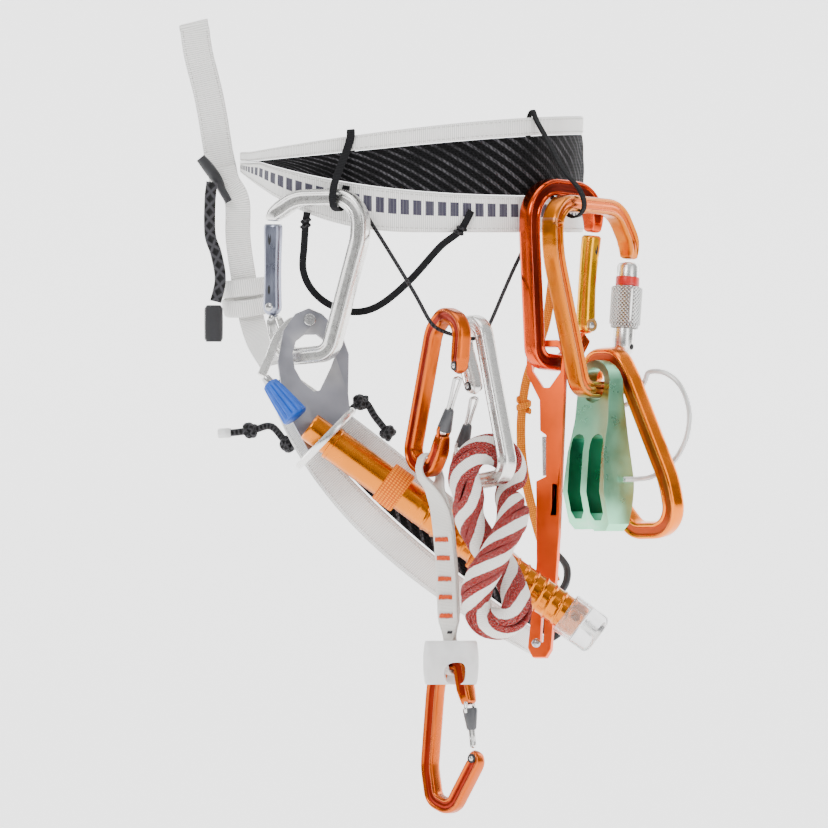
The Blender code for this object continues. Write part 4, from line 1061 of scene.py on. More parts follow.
# ---------------------------------------------------------------- karabiners
class Plane:
    def __init__(self, x, y, yaw, lean=0.0, z=0.0):
        self.x, self.y, self.z, self.lean = x, y, z, lean
        self.slope = math.tan(math.radians(yaw))
        self.normal = v3(-self.slope, 1.0, -lean).normalized()

    def at(self, x, z):
        return v3(x, self.y + (x - self.x) * self.slope + (z - self.z) * self.lean, z)


def beam(name, plane, pts, radii, rim, web, half=4.7, depth=None, node=None, body="harness", slot=None,
         ridge=False, eye=False):
    """A forged bar with a rounded rim on both edges and a sunk web between them on both faces."""
    depth = depth or half
    line = even(fillet([plane.at(x, z) for x, z in pts], radii), 0.9)
    tan = tangents(line)
    at = run_length(line)
    total = at[-1]
    quarter = [(1.0, 0.0), (1.0, 0.42), (0.97, 0.68), (0.88, 0.9), (0.74, 1.0), (0.6, 0.99), (0.5, 0.9),
               (0.45, 0.8), (0.4, 0.76), (0.2, 0.76 if not ridge else 0.77),
               (0.0, 0.76 if not ridge else 0.86)]
    prof = quarter + [(-a, b) for a, b in quarter[-2::-1]]
    prof += [(a, -b) for a, b in [(-a, b) for a, b in quarter[1:]]]
    prof += [(a, -b) for a, b in quarter[-2:0:-1]]
    m = len(prof)
    rings = []
    for i, p in enumerate(line):
        side = tan[i].cross(plane.normal).normalized()
        end = min(at[i], total - at[i])
        f = 0.74 + 0.26 * min(1.0, end / 9.0) ** 0.7
        if eye and total - at[i] < half:
            f *= max(0.3, math.sqrt(max(0.0, 1 - (1 - (total - at[i]) / half) ** 2)))
        elif end < 1.3:
            f *= 0.72 + 0.28 * math.sqrt(max(0.0, 1 - (1 - end / 1.3) ** 2))
        fill = max(0.0, 1.0 - end / 10.0)
        ring = []
        for a, b in prof:
            deep = abs(b)
            if abs(a) <= 0.5:
                deep = deep + (0.97 - deep) * min(1.0, fill * 1.6)
            ring.append(p + side * (a * half * f) + plane.normal * (math.copysign(deep,
                    b) * depth * f if b else 0))
        rings.append(ring)
    vs = [0.0]
    for (a, b), (c, d) in zip(prof, prof[1:] + prof[:1]):
        vs.append(vs[-1] + math.hypot((c - a) * half, (d - b) * depth))
    obj = skin(name, rings, at, vs, [rim, web], False, nodes=(node,) if node else (), body=body, slot=slot,
               angle=50)
    # the sunk web on both faces takes the second material, darker than the rim on the coloured bars:
    # painted shade in the channel
    sunk = [abs(prof[j][0] + prof[(j + 1) % m][0]) / 2 < 0.47 and abs(prof[j][1]) > 0.5 for j in range(m)]
    for i in range(6, len(rings) - 7):
        for j in range(m):
            if sunk[j]:
                obj.data.polygons[i * m + j].material_index = 1
    if eye:
        k = next(i for i in range(len(line)) if total - at[i] <= half * 1.15)
        turned(f"{name}_eye_shade", line[k], plane.normal, [(-depth - 0.15, 0.1), (-depth - 0.15, 2.5),
               (-depth + 0.6, 2.6), (depth - 0.6, 2.6), (depth + 0.15, 2.5), (depth + 0.15, 0.1)], "dark",
               28,
               body=body, slot=slot)
        rivet(f"{name}_eye_rivet", line[k], plane.normal, 1.6, depth - 0.1, "steel", body, slot)
    return obj


def rivet(name, at, normal, r, half, mat, body, slot):
    """A domed rivet right through, standing a little proud of both faces."""
    prof = [(-half - 0.9, 0.05), (-half - 0.8, r * 0.55), (-half - 0.45, r * 0.86), (-half, r), (half, r),
            (half + 0.45, r * 0.86), (half + 0.8, r * 0.55), (half + 0.9, 0.05)]
    return turned(name, at, normal, prof, mat, 28, body=body, slot=slot)


def washer(name, at, normal, r, off, mat, body, slot, inner=0.6, deep=0.35):
    """A thin ring that shades the recess round a rivet or a hole."""
    prof = [(off - deep, r), (off + deep, r * 0.98), (off + deep, r * inner), (off - deep, r * inner)]
    return turned(name, at, normal, prof, mat, 28, True, body=body, slot=slot)


def solid_gate(tag, hinge, nose, plane, r, mat, node, body, slot, bend=0.0, cuts=()):
    """A round-backed gate: hinge cheeks, a straight or bent barrel and a slotted nose end."""
    axis = nose - hinge
    reach = axis.length - 0.9
    axis = axis.normalized()
    side = axis.cross(plane.normal).normalized()
    rings, us = [], []
    n = 56
    for i in range(n + 1):
        s = -r + (reach + r) * i / n
        if s < 0:
            f = math.sqrt(max(0.0, 1 - (s / r) ** 2))
            w, d = r * max(f, 0.06), r * max(f, 0.06) * 0.94
        else:
            f = s / reach
            w = r * (1.0 - 0.1 * math.sin(math.pi * min(1.0, f * 1.15)))
            d = r * (0.94 - 0.05 * math.sin(math.pi * f))
            if s > reach - 1.2:
                q = (s - reach + 1.2) / 1.2
                w *= math.sqrt(1 - 0.3 * q * q)
                d *= math.sqrt(1 - 0.3 * q * q)
        off = side * (bend * math.sin(math.pi * min(max(s / reach, 0.0), 1.0)))
        c = hinge + axis * s + off
        ring = []
        for k in range(28):
            a = 2 * math.pi * k / 28
            ca, sa = math.cos(a), math.sin(a)
            ca = math.copysign(abs(ca) ** 0.8, ca)
            sa = math.copysign(abs(sa) ** 0.8, sa)
            ring.append(c + side * ca * w + plane.normal * sa * d)
        rings.append(ring)
        us.append(s + r)
    gate = skin(f"{tag}_gate_barrel", rings, us, [2 * math.pi * r * k / 28 for k in range(29)], mat, False,
                nodes=(node,), body=body, slot=slot, angle=50)
    # each slot is a near-black strip laid just proud of both faces: painted shade for the cut-out
    for k, (f, wide, long) in enumerate(cuts):
        at = hinge + axis * (reach * f)
        line = [at - axis * long / 2, at - axis * long * 0.3, at, at + axis * long * 0.3,
                at + axis * long / 2]
        for q, sgn in enumerate((-1, 1)):
            pts = [p + plane.normal * (sgn * (r * 0.9 - 0.28)) for p in line]
            strap(f"{tag}_gate_slot_{k}_{q}", pts, side,
                  [wide * 0.3, wide * 0.9, wide, wide * 0.9, wide * 0.3],
                  0.7, "dark", step=0.6, body=body, slot=slot)
    rivet(f"{tag}_hinge_rivet", hinge, plane.normal, r * 0.46, r * 0.94, "steel", body, slot)
    return gate


def wire_gate(tag, hinge, cone_at, nose, plane, node, body, slot="black_plastic"):
    """A sprung wire loop from the hinge into a moulded cone that meets the nose."""
    axis = nose - hinge
    total = axis.length - 0.9
    axis = axis.normalized()
    start = (cone_at - hinge).length
    n = plane.normal
    side = axis.cross(n).normalized()
    cone = turned(f"{tag}_gate_cone", hinge, axis,
                  [(start - 0.6, 0.6), (start - 0.4, 2.1), (start + 0.6, 2.75),
                   (start + (total - start) * 0.5, 3.5),
                   (total - 1.6, 4.1), (total - 0.3, 4.0), (total, 3.6), (total, 2.2), (total - 1.2, 1.9),
                   (total - 1.2, 0.1)], "cone", 32, nodes=(node,), body=body, slot=slot)
    for k, (sgn, shift) in enumerate(((-1, -0.35), (1, 0.35))):
        pts = [hinge + n * sgn * 1.9 - axis * 0.6 + side * shift,
               hinge + n * sgn * 1.75 + axis * 2 + side * shift,
               hinge + n * sgn * 1.35 + axis * (start * 0.6), hinge + n * sgn * 1.2 + axis * (start + 2)]
        tube(f"{tag}_gate_wire_{k + 1}", smooth(pts, 6), 0.95, "wire", 14, body=body, slot=slot)
    bar = [hinge + n * 1.9 - axis * 0.6 + side * 0.35, hinge - axis * 1.3,
           hinge - n * 1.9 - axis * 0.6 - side * 0.35]
    tube(f"{tag}_gate_wire_end", smooth(bar, 6), 0.95, "wire", 14, body=body, slot=slot)
    return cone


def nose_prongs(tag, nose, hinge, plane, mat, slot, body="harness"):
    """The two prongs at the end of a wire-gate bar, which the gate's cone closes between."""
    axis = (nose - hinge).normalized()
    for k, sgn in enumerate((-1, 1)):
        a = nose + plane.normal * (sgn * 3.1)
        pts = [a + axis * 2.6, a + axis * 0.9 + plane.normal * sgn * 0.25,
               a - axis * 1.4 + plane.normal * sgn * 0.9, a - axis * 3.4 + plane.normal * sgn * 0.6]
        tube(f"{tag}_nose_prong_{k + 1}", smooth(pts, 6), lambda f: 1.15 - 0.35 * f ** 3, mat, 14,
             body=body,
             slot=slot)


SILVER = Plane(67.0, -120.4, -27.0)
S_HINGE, S_NOSE = SILVER.at(43.6, -159.5), SILVER.at(44.0, -112.5)
beam("silver_karabiner_bar", SILVER,
     [(44.0, -111.6), (44.0, -108.5), (57.0, -99.0), (92.5, -98.0), (92.3, -121.0),
      (75.5, -185.0), (50.5, -187.5), (44.2, -165.2)],
     [6.0, 22.0, 15.0, 30.0, 9.0, 11.0], "silver", "silver", node="silver_karabiner_body",
     slot="silver_aluminium")
solid_gate("silver_karabiner", S_HINGE, S_NOSE, SILVER, 5.0, "gate_grey", "silver_karabiner_gate",
           "silver_gate",
           "grey_aluminium", cuts=((0.84, 2.3, 8.5), (0.2, 2.0, 6.0)))
rivet("silver_karabiner_lug", SILVER.at(44.3, -165.6), SILVER.normal, 1.9, 3.4, "steel", "harness",
      "silver_aluminium")

KA = Plane(185.5, -118.0, 43.0)
A_HINGE, A_NOSE = KA.at(217.5, -169.5), KA.at(221.0, -119.0)
beam("karabiner_a_bar", KA,
     [(221.2, -118.0), (221.8, -112.0), (220.5, -95.5), (186.5, -91.0), (186.5, -120.0),
      (189.5, -189.0), (205.5, -191.0), (216.5, -175.8)],
     [14.0, 16.0, 18.0, 60.0, 9.0, 12.0], "red", "dark_red", node="karabiner_a_body", slot="red_anodised",
     ridge=True)
solid_gate("karabiner_a", A_HINGE, A_NOSE, KA, 5.2, "gold", "karabiner_a_gate", "gate_a", "gold_anodised",
           bend=0.9, cuts=((0.86, 2.6, 7.5),))
washer("karabiner_a_rivet_ring", A_HINGE, KA.normal, 3.6, -5.2, "gold", "gate_a", "gold_anodised", 0.62,
       0.5)

KB = Plane(211.0, -120.0, 56.0)
B_HINGE, B_NOSE = KB.at(238.4, -181.5), KB.at(241.6, -134.0)
beam("karabiner_b_bar", KB,
     [(241.4, -132.8), (242.0, -124.0), (234.0, -104.5), (200.0, -101.0), (198.6, -125.0),
      (214.5, -205.0), (235.0, -205.5), (237.9, -188.7)],
     [15.0, 22.0, 14.0, 60.0, 10.0, 9.0], "b_orange", "orange", 4.7, 5.0, node="karabiner_b_body",
     slot="orange_anodised", ridge=True)


def knurl(name, base):
    n = Nodes(name, 0.3, 1.0)
    u, v = n.uv()
    a = n.math("SINE", n.math("MULTIPLY", n.math("ADD", u, v), 2 * math.pi / (4.4 * MM)))
    b = n.math("SINE", n.math("MULTIPLY", n.math("SUBTRACT", u, v), 2 * math.pi / (4.4 * MM)))
    h = n.math("ADD", n.math("ABSOLUTE", a), n.math("ABSOLUTE", b))
    # the knurl's grooves are darkened to a fifth of the base colour: painted shade
    n.set("Base Color", n.mix(n.ramp(h, 0.35, 1.5), dim(base, 0.2), base))
    n.bump(h, 0.6)
    return n.mat


M["knurl"] = knurl("knurled_aluminium", srgb(212, 212, 210))


def lock_gate(tag, hinge, nose, plane, r, gate_body, sleeve_body, nodes, slot, low, high, out, ring=None):
    """A round gate with a knurled sleeve on it, free to slide towards the nose."""
    axis = (nose - hinge).normalized()
    reach = (nose - hinge).length - 0.9
    prof = [(-r, 0.1), (-r * 0.86, r * 0.51), (-r * 0.5, r * 0.86), (0, r), (low - 0.5, r),
            (low - 0.1, r * 0.98),
            (reach - 8.5, r), (reach - 8.2, r * 1.06), (reach - 2.2, r * 1.06), (reach - 0.7, r * 0.92),
            (reach, r * 0.62),
            (reach, 0.1)]
    turned(f"{tag}_gate_core", hinge, axis, prof, "silver", 40, nodes=(nodes[0],), body=gate_body,
           slot=slot)
    rivet(f"{tag}_gate_rivet", hinge, plane.normal, r * 0.3, r * 0.94, "dark", gate_body, slot)
    inner = r + 0.95
    body = [(low, inner), (low, out - 1.2), (low + 0.8, out - 0.9), (low + 1.6, out - 0.9),
            (low + 2.2, out - 0.1),
            (low + 2.6, out), (high - 0.9, out), (high - 0.2, out - 0.5), (high, out - 1.1), (high, inner)]
    steps = []
    for (a, p), (b, q) in zip(body, body[1:]):
        steps.append((a, p))
        if b - a > 3:
            steps += [(a + (b - a) * f, p + (q - p) * f) for f in (0.25, 0.5, 0.75)]
    steps.append(body[-1])
    turned(f"{tag}_sleeve_barrel", hinge, axis, steps, "knurl", 48, True, nodes=(nodes[1],),
           body=sleeve_body, slot=slot)
    side = axis.cross(plane.normal).normalized()
    for k in range(2):
        way = (-plane.normal * 0.8 + side * 0.6).normalized() * (1 if k == 0 else -1)
        pts = [hinge + axis * (low + 3.2 + (high - low - 4.6) * f) + way * (out - 0.1) for f in
               (0, 0.05, 0.3, 0.7, 0.95, 1)]
        strap(f"{tag}_sleeve_plain_{k + 1}", pts, way.cross(axis), [0.6, 1.6, 1.9, 1.9, 1.6, 0.6], 0.7,
              "silver",
              body=sleeve_body, slot=slot)
    if ring:
        a, b = ring
        turned(f"{tag}_open_ring", hinge, axis,
               [(a, r * 0.98), (a, r + 0.5), (a + 0.4, r + 0.7), (b - 0.4, r + 0.7),
                                                 (b, r + 0.5), (b, r * 0.98)], "ring_red", 40, True,
               body=gate_body, slot=slot)


lock_gate("karabiner_b", B_HINGE, B_NOSE, KB, 5.9, "gate_b", "sleeve_b",
          ("karabiner_b_gate", "karabiner_b_sleeve"), "silver_aluminium", 10.4, 33.4, 8.7, (33.9, 38.9))

HANG = KB.at(227.5, -205.2)
W_DIR = v3(math.sqrt(0.5), -math.sqrt(0.5), 0)
D_DIR = v3(math.sqrt(0.5), math.sqrt(0.5), 0)


def device(w, z, d):
    return v3(HANG.x, HANG.y, 0) + W_DIR * w + D_DIR * d + v3(0, 0, z)


def c_at(x, z):
    d = 10.6 + (-200.0 - z) * 0.17
    return device((x - HANG.x) / W_DIR.x - d, z, d)


class PlaneC:
    normal = (D_DIR + v3(0, 0, 0.17)).normalized()

    @staticmethod
    def at(x, z):
        return c_at(x, z)


C_HINGE, C_NOSE = c_at(224.2, -208.0), c_at(235.2, -262.0)
beam("karabiner_c_bar", PlaneC,
     [(235.6, -263.8), (237.5, -272.0), (246.0, -283.5), (268.5, -283.0), (264.0, -256.0),
      (242.0, -199.0), (236.0, -186.5), (220.0, -187.0), (222.8, -201.3)],
     [12.0, 12.0, 15.0, 50.0, 16.0, 10.0, 9.0], "c_orange", "c_web", 4.7, 4.9, node="karabiner_c_body",
     slot="orange_anodised")
lock_gate("karabiner_c", C_HINGE, C_NOSE, PlaneC, 5.4, "gate_c", "sleeve_c",
          ("karabiner_c_gate", "karabiner_c_sleeve"), "silver_aluminium", 13.6, 38.0, 7.6)

# ---------------------------------------------------------------- belay device and its cable
plate_obj = from_node("belay_device_body", ["green", "deep_green"], "belay_plate", 0.75, 3)
# faces inside the slots take the darker green: painted shade in the slots
for poly in plate_obj.data.polygons:
    rel = poly.center / MM - v3(HANG.x, HANG.y, 0)
    w, z = rel.dot(W_DIR), rel.z
    in_slot = -279 < z < -228 and (2.2 < abs(w) < 12.9) and abs(poly.normal.dot(D_DIR)) < 0.5
    if in_slot and abs(poly.normal.dot(W_DIR)) + abs(poly.normal.z) > 0.5:
        poly.material_index = 1


def loop_at(x, z, d):
    return device((x - HANG.x) / W_DIR.x - d, z, d)


KEEP = device(17.5, -255.2, -1.0)
line = smooth([KEEP, device(19.0, -255.0, 8.0), device(18.5, -254.0, 18.0), loop_at(260.0, -250.5, 28.0),
               loop_at(268.0, -243.0, 32.5), loop_at(273.8, -231.0, 33.0), loop_at(275.0, -217.0, 32.0),
               loop_at(270.3, -203.5, 29.0), loop_at(262.0, -196.3, 26.0), loop_at(253.0, -195.6, 22.5),
               device(11.0, -200.5, 21.5), device(6.6, -207.5, 20.0), device(5.6, -213.0, 14.0),
               device(5.6, -214.5, 5.9)], 8)
tube("cable_cover", line, 1.5, "cable", 18, nodes=("belay_cable_keeper",), slot="clear_rubber")
tube("cable_core", line, 0.75, "wire", 10, slot="clear_rubber")

# ---------------------------------------------------------------- quickdraw
QU = Plane(139.0, -166.0, -55.0)
Q_HINGE, Q_NOSE = QU.at(146.3, -200.0), QU.at(138.6, -229.0)
beam("quickdraw_upper_bar", QU,
     [(138.3, -230.2), (136.5, -240.0), (131.5, -252.5), (121.0, -243.0), (133.5, -172.0),
      (140.0, -163.0), (149.2, -168.0), (147.2, -196.6)],
     [12.0, 9.0, 9.0, 16.0, 9.0, 10.0], "orange", "deep_red", 4.2, node="quickdraw_upper_body",
     slot="orange_anodised", ridge=True, eye=True)
wire_gate("quickdraw_upper", Q_HINGE, QU.at(142.0, -216.5), Q_NOSE, QU, "quickdraw_upper_gate",
          "gate_upper")
nose_prongs("quickdraw_upper", Q_NOSE, Q_HINGE, QU, "orange", "orange_anodised")

QL = Plane(143.0, -160.5, -38.0)
L_HINGE, L_NOSE = QL.at(155.0, -402.5), QL.at(153.2, -381.5)
beam("quickdraw_lower_bar", QL,
     [(153.0, -380.3), (150.8, -371.0), (148.6, -356.9), (136.8, -356.9), (134.2, -372.0),
      (131.0, -415.0), (133.5, -433.0), (143.5, -438.5), (157.0, -412.0), (155.4, -406.0)],
     [10.0, 4.5, 4.5, 30.0, 30.0, 8.0, 7.0, 4.0], "orange", "deep_red", 4.2, node="quickdraw_lower_body",
     body="sling", slot="orange_anodised", ridge=True, eye=True)
wire_gate("quickdraw_lower", L_HINGE, QL.at(154.4, -394.0), L_NOSE, QL, "quickdraw_lower_gate",
          "gate_lower")
nose_prongs("quickdraw_lower", L_NOSE, L_HINGE, QL, "silver", "orange_anodised", "sling")

E_UP = v3(0.819, 0.574, 0)
E_LOW = v3(0.616, 0.788, 0)
SL = v3(130.2, -153.4, -248.6)
SB = v3(142.8, -160.4, -356.9)
SLING = [(0.0, SL, 6.4), (0.04, v3(131.3, -154.0, -254), 6.2), (0.12, v3(134.0, -155.6, -262.5), 2.2),
         (0.25, v3(138.0, -156.2, -277), 1.1), (0.5, v3(140.6, -156.8, -308), 1.1),
         (0.8, v3(141.8, -159.4, -338), 1.1), (0.9, v3(142.5, -160.2, -347), 2.6),
         (1.0, SB, 6.2)]


def facing(f):
    """How far the sewn middle turns towards the front, in radians."""
    up = min(max((f - 0.1) / 0.2, 0.0), 1.0)
    down = min(max((0.9 - f) / 0.15, 0.0), 1.0)
    return -0.45 * (3 * up ** 2 - 2 * up ** 3) * (3 * down ** 2 - 2 * down ** 3)


def sling_out(f):
    d = E_UP.lerp(E_LOW, f).normalized()
    a = facing(f)
    return v3(d.x * math.cos(a) + d.y * math.sin(a), d.y * math.cos(a) - d.x * math.sin(a), 0)


def sling_side(sign):
    return [p + sling_out(f) * (off * sign) for f, p, off in SLING]


crown = [SL + E_UP * (6.4 * math.cos(a)) + v3(0, 0, 7.4 * math.sin(a)) for a in (2.4, 2.0, 1.57, 1.14,
                                                                                 0.74)]
foot = [SB - E_LOW * (6.2 * math.cos(a)) - v3(0, 0, 6.3 * math.sin(a)) for a in (2.4, 2.0, 1.57, 1.14,
                                                                                 0.74)]
near = smooth(sling_side(-1), 6)
far = smooth(sling_side(1), 6)
line = near[::-1] + crown + far + foot
wide = []
for p in line:
    f = (SL.z - p.z) / (SL.z - SB.z)
    opened = min(max((f - 0.03) / 0.12, 0.0), 1.0)
    closed = min(max((f - 0.78) / 0.14, 0.0), 1.0)
    wide.append(6.4 + 6.1 * opened - 7.9 * closed)


def tape_across(z):
    d = sling_out(min(max((SL.z - z) / 108, 0), 1))
    return v3(d.y, -d.x, 0)


tape = [tape_across(p.z) for p in line]
strap("sling_tape", line, tape, wide, 1.6, "tape", True, crown=0.1, step=0.9, body="sling",
      nodes=("sling",),
      slot="white_webbing")

# five bar tacks join the sling's two layers, with the lapped end's edge and a black tack below
def sling_at(z, out, along=0.0):
    f = (SL.z - z) / (SL.z - SB.z)
    rows = [(a, p) for a, p, _ in SLING]
    for (a, p), (b, q) in zip(rows, rows[1:]):
        if a <= f <= b:
            mid = p.lerp(q, (f - a) / (b - a))
            break
    return v3(mid.x, mid.y, z) + sling_out(f) * out + tape_across(z) * along


for k, z in enumerate((-288.6, -298.9, -310.4, -320.6, -331.0)):
    for side, face in (("near", -1), ("far", 1)):
        zigzag = []
        for i in range(45):
            a = -4.9 + 9.8 * i / 44
            up = (1.25 if i % 2 else -1.25) + random.uniform(-0.25, 0.25)
            zigzag.append(sling_at(z + up, face * (2.1 + random.uniform(0, 0.12)), a))
        tube(f"sling_bartack_{side}_{k + 1}", smooth(zigzag, 2), 0.27, "thread_orange", 6, body="sling",
             slot="orange_elastic")
lap = [sling_at(z, -2.05, 4.3) for z in (-284.0, -296.0, -308.0, -320.0, -334.0)]
strap("sling_lapped_end", lap, [tape_across(p.z) for p in lap], 2.6, 0.9, "tape", body="sling",
      slot="white_webbing")
tack = [sling_at(-340.2 + (0.8 if i % 2 else -0.8), -4.4, 1.2 + 0.28 * i) for i in range(12)]
tube("sling_black_tack", smooth(tack, 2), 0.25, "thread_black", 6, body="sling", slot="black_webbing")

# ---------------------------------------------------------------- rubber keeper
RUB = v3(142.7, -160.4, -357.0)
ALONG_BAR = v3(0.788, -0.616, 0)
KEEPER_HALF = 12.2


def keeper_point(turn, z, deep):
    """On the keeper's wall: turn 0..1 round it, z from its middle, deep 0 outside to 1 inside."""
    t = 2 * math.pi * turn
    c, d = math.cos(t), math.sin(t)
    c, d = math.copysign(abs(c) ** 0.7, c), math.copysign(abs(d) ** 0.7, d)
    bulge = 1 - (z / KEEPER_HALF) ** 2
    a = 15.6 + 1.2 * bulge
    b = 8.8 + 0.5 * bulge
    lip = max(0.0, abs(z) / KEEPER_HALF - 0.9) * 6
    wall = 1.4 - 0.5 * lip
    a, b = a - wall * deep - lip * (1 - deep) * 0.5, b - wall * deep - lip * (1 - deep) * 0.5
    return RUB + ALONG_BAR * (a * c) + E_LOW * (b * d) + v3(0, 0, z)


AROUND, ROWS = 120, 36
WINDOW = (0.84, -6.0, 0.08, 6.0)
grid = {}
for i in range(AROUND):
    for j in range(ROWS + 1):
        t, z = i / AROUND, -KEEPER_HALF + 2 * KEEPER_HALF * j / ROWS
        da, dz = (t - WINDOW[0]) / WINDOW[2], (z - WINDOW[1]) / WINDOW[3]
        rho = (abs(da) ** 3 + abs(dz) ** 3) ** (1 / 3)
        grid[i, j] = (t, z, rho)


def cut_away(i, j):
    return sum(grid[(i + a) % AROUND, j + b][2] for a in (0, 1) for b in (0, 1)) / 4 < 1.0


open_cells = {(i, j) for i in range(AROUND) for j in range(ROWS) if cut_away(i, j)}
verts, index = [], {}
for (i, j), (t, z, rho) in grid.items():
    near_cells = [((i - a) % AROUND, j - b) for a in (0, 1) for b in (0, 1) if 0 <= j - b < ROWS]
    inside = [c in open_cells for c in near_cells]
    if any(inside) and not all(inside):
        t = WINDOW[0] + (t - WINDOW[0]) / rho
        z = WINDOW[1] + (z - WINDOW[1]) / rho
    for deep in (0, 1):
        index[i, j, deep] = len(verts)
        verts.append(keeper_point(t, z, deep) * MM)
faces = []
for i in range(AROUND):
    i2 = (i + 1) % AROUND
    for j in range(ROWS):
        if (i, j) in open_cells:
            continue
        faces.append((index[i, j, 0], index[i2, j, 0], index[i2, j + 1, 0], index[i, j + 1, 0]))
        faces.append((index[i, j, 1], index[i, j + 1, 1], index[i2, j + 1, 1], index[i2, j, 1]))
        for cell, p, q in (((i - 1) % AROUND, j), (i, j), (i, j + 1)), ((i2, j), (i2, j + 1), (i2, j)), \
                ((i, j - 1), (i2, j), (i, j)), ((i, j + 1), (i, j + 1), (i2, j + 1)):
            if cell in open_cells or cell[1] < 0 or cell[1] >= ROWS:
                faces.append((index[(*p, 0)], index[(*p, 1)], index[(*q, 1)], index[(*q, 0)]))
mesh = bpy.data.meshes.new("rubber_keeper_shell")
mesh.from_pydata(verts, [], faces)
bm = bmesh.new()
bm.from_mesh(mesh)
loose = [v for v in bm.verts if not v.link_faces]
bmesh.ops.delete(bm, geom=loose, context="VERTS")
bmesh.ops.recalc_face_normals(bm, faces=bm.faces)
bm.to_mesh(mesh)
bm.free()
add("rubber_keeper_shell", mesh, "clear", body="sling", slot="clear_rubber", nodes=("rubber_keeper",),
    angle=50)

# ---------------------------------------------------------------- silver wire-gate karabiner
SW = Plane(160.0, -162.0, -55.0)
W_HINGE, W_NOSE = SW.at(155.5, -211.0), SW.at(148.6, -238.0)
beam("wiregate_bar", SW,
     [(148.3, -239.2), (147.5, -250.0), (155.0, -257.0), (175.5, -253.0), (160.5, -172.0),
      (155.0, -166.0), (148.5, -176.0), (156.3, -207.6)],
     [9.0, 8.0, 9.0, 10.0, 9.0, 12.0], "silver", "silver", 4.2, node="wiregate_karabiner_body",
     slot="silver_aluminium", ridge=True, eye=True)
wire_gate("wiregate", W_HINGE, SW.at(152.0, -225.0), W_NOSE, SW, "wiregate_karabiner_gate", "gate_wire")
nose_prongs("wiregate", W_NOSE, W_HINGE, SW, "silver", "silver_aluminium")

# ---------------------------------------------------------------- hank of accessory cord
BARS = SW.at(163.5, -255.0)
E1 = v3(math.sin(math.radians(55)), math.cos(math.radians(55)), 0)
E2 = v3(math.cos(math.radians(55)), -math.sin(math.radians(55)), 0)
TOP_R, LOW_R, DROP = 16.8, 11.0, 70.0
line = []
for k in range(9):
    a = math.pi * k / 8
    line.append(BARS + E1 * (TOP_R * math.cos(a)) + v3(0, 0, TOP_R * math.sin(a)))
down, up = [], []
for k in range(1, 15):
    f = k / 14
    mid = BARS + v3(4.5 * f, -8.0 * min(1.0, f / 0.35), -DROP * f)
    a = math.pi * 1.25 * max(0.0, (f - 0.14) / 0.86)
    r = TOP_R - 5.8 * math.sin(min(f * 2.2, 1.0) * math.pi / 2)
    side = E1 * math.cos(a) + E2 * math.sin(a)
    up.append(mid + side * r)
    down.append(mid - side * r)
low = BARS + v3(4.5, -8.0, -DROP)
turn = []
for k in range(1, 8):
    a = math.pi * k / 8
    turn.append(low - side * (LOW_R * math.cos(a)) + v3(0, 0, -LOW_R * math.sin(a)))
ring = even(smooth(line + down + turn + up[::-1], 4, True), 1.6, True)
for _ in range(6):
    ring = [(ring[i - 1] + ring[i] * 2 + ring[(i + 1) % len(ring)]) / 4 for i in range(len(ring))]
ring_tan = tangents(ring, True)
around = [(ring[0] - BARS).normalized()]
for t in ring_tan[1:]:
    around.append((around[-1] - t * around[-1].dot(t)).normalized())
slip = around[-1].cross(around[0]).dot(ring_tan[0])
drift = math.atan2(slip, around[-1].dot(around[0]))
LAPS, TWIST, TAPE_W, TAPE_H, BUNDLE = 3, 4, 12.6, 4.8, 6.2
count = len(ring)
path, outward_dirs = [], []
for i in range(LAPS * count - 10):
    k = i % count
    lap = i / count
    a = drift * (k / count) + 2 * math.pi * lap * (TWIST + 1 / LAPS) + 0.4
    n0 = around[k]
    n1 = ring_tan[k].cross(n0)
    way = n0 * math.cos(a) + n1 * math.sin(a)
    sway = 0.5 * math.sin(lap * 37.0) + 0.35 * math.sin(lap * 71.0 + 1.0)
    path.append(ring[k] + way * (BUNDLE + sway))
    outward_dirs.append(way)
tan = tangents(path)
rings = []
for i, p in enumerate(path):
    n = (outward_dirs[i] - tan[i] * outward_dirs[i].dot(tan[i])).normalized()
    s = tan[i].cross(n)
    end = min(i, len(path) - 1 - i)
    f = min(1.0, 0.55 + 0.45 * end / 3)
    rings.append([p + n * (math.cos(2 * math.pi * (k / 20 - 0.5)) * TAPE_H / 2 * f)
                  + s * (math.sin(2 * math.pi * (k / 20 - 0.5)) * TAPE_W / 2 * f) for k in range(20)])
at = run_length(path)
hank = skin("cord_hank_strands", rings, at, [TAPE_W * 2.1 * k / 20 for k in range(21)], "hank", False,
            nodes=("cord_hank",), slot="striped_cord", angle=60)

# ---------------------------------------------------------------- channel tool
TL = Plane(196.0, -108.2, -15.0, 0.12, -190.0)


def tool(x, z, out):
    return TL.at(x, z) + TL.normal * out


from_node("channel_tool_body", "tool", "tool_plate", 0.9, 3)
from_node("channel_tool_blade", "steel", "tool_blade", 0.2, 2)
T_PIN = tool(191.0, -346.5, 0.0)
turned("tool_rivet", T_PIN, -TL.normal,
       [(3.1, 0.1), (3.1, 2.6), (3.5, 2.55), (4.0, 2.0), (4.3, 1.1), (4.5, 0.1)], "steel", 28,
       nodes=("channel_tool_rivet",), slot="steel")
hook = [tool(191.0, -346.5, 4.4), tool(192.5, -325.0, 4.4), tool(196.0, -262.0, 4.4),
        tool(198.2, -224.0, 4.4), tool(197.2, -219.0, 4.4), tool(195.0, -221.5, 4.4)]
tube("tool_hook", even(fillet(hook, [0, 0, 3, 1.5]), 1.2), lambda f: 1.1 * min(1.0, 0.5 + (1 - f) * 12),
     "steel",
     14, nodes=("channel_tool_hook",), body="hook", slot="steel")

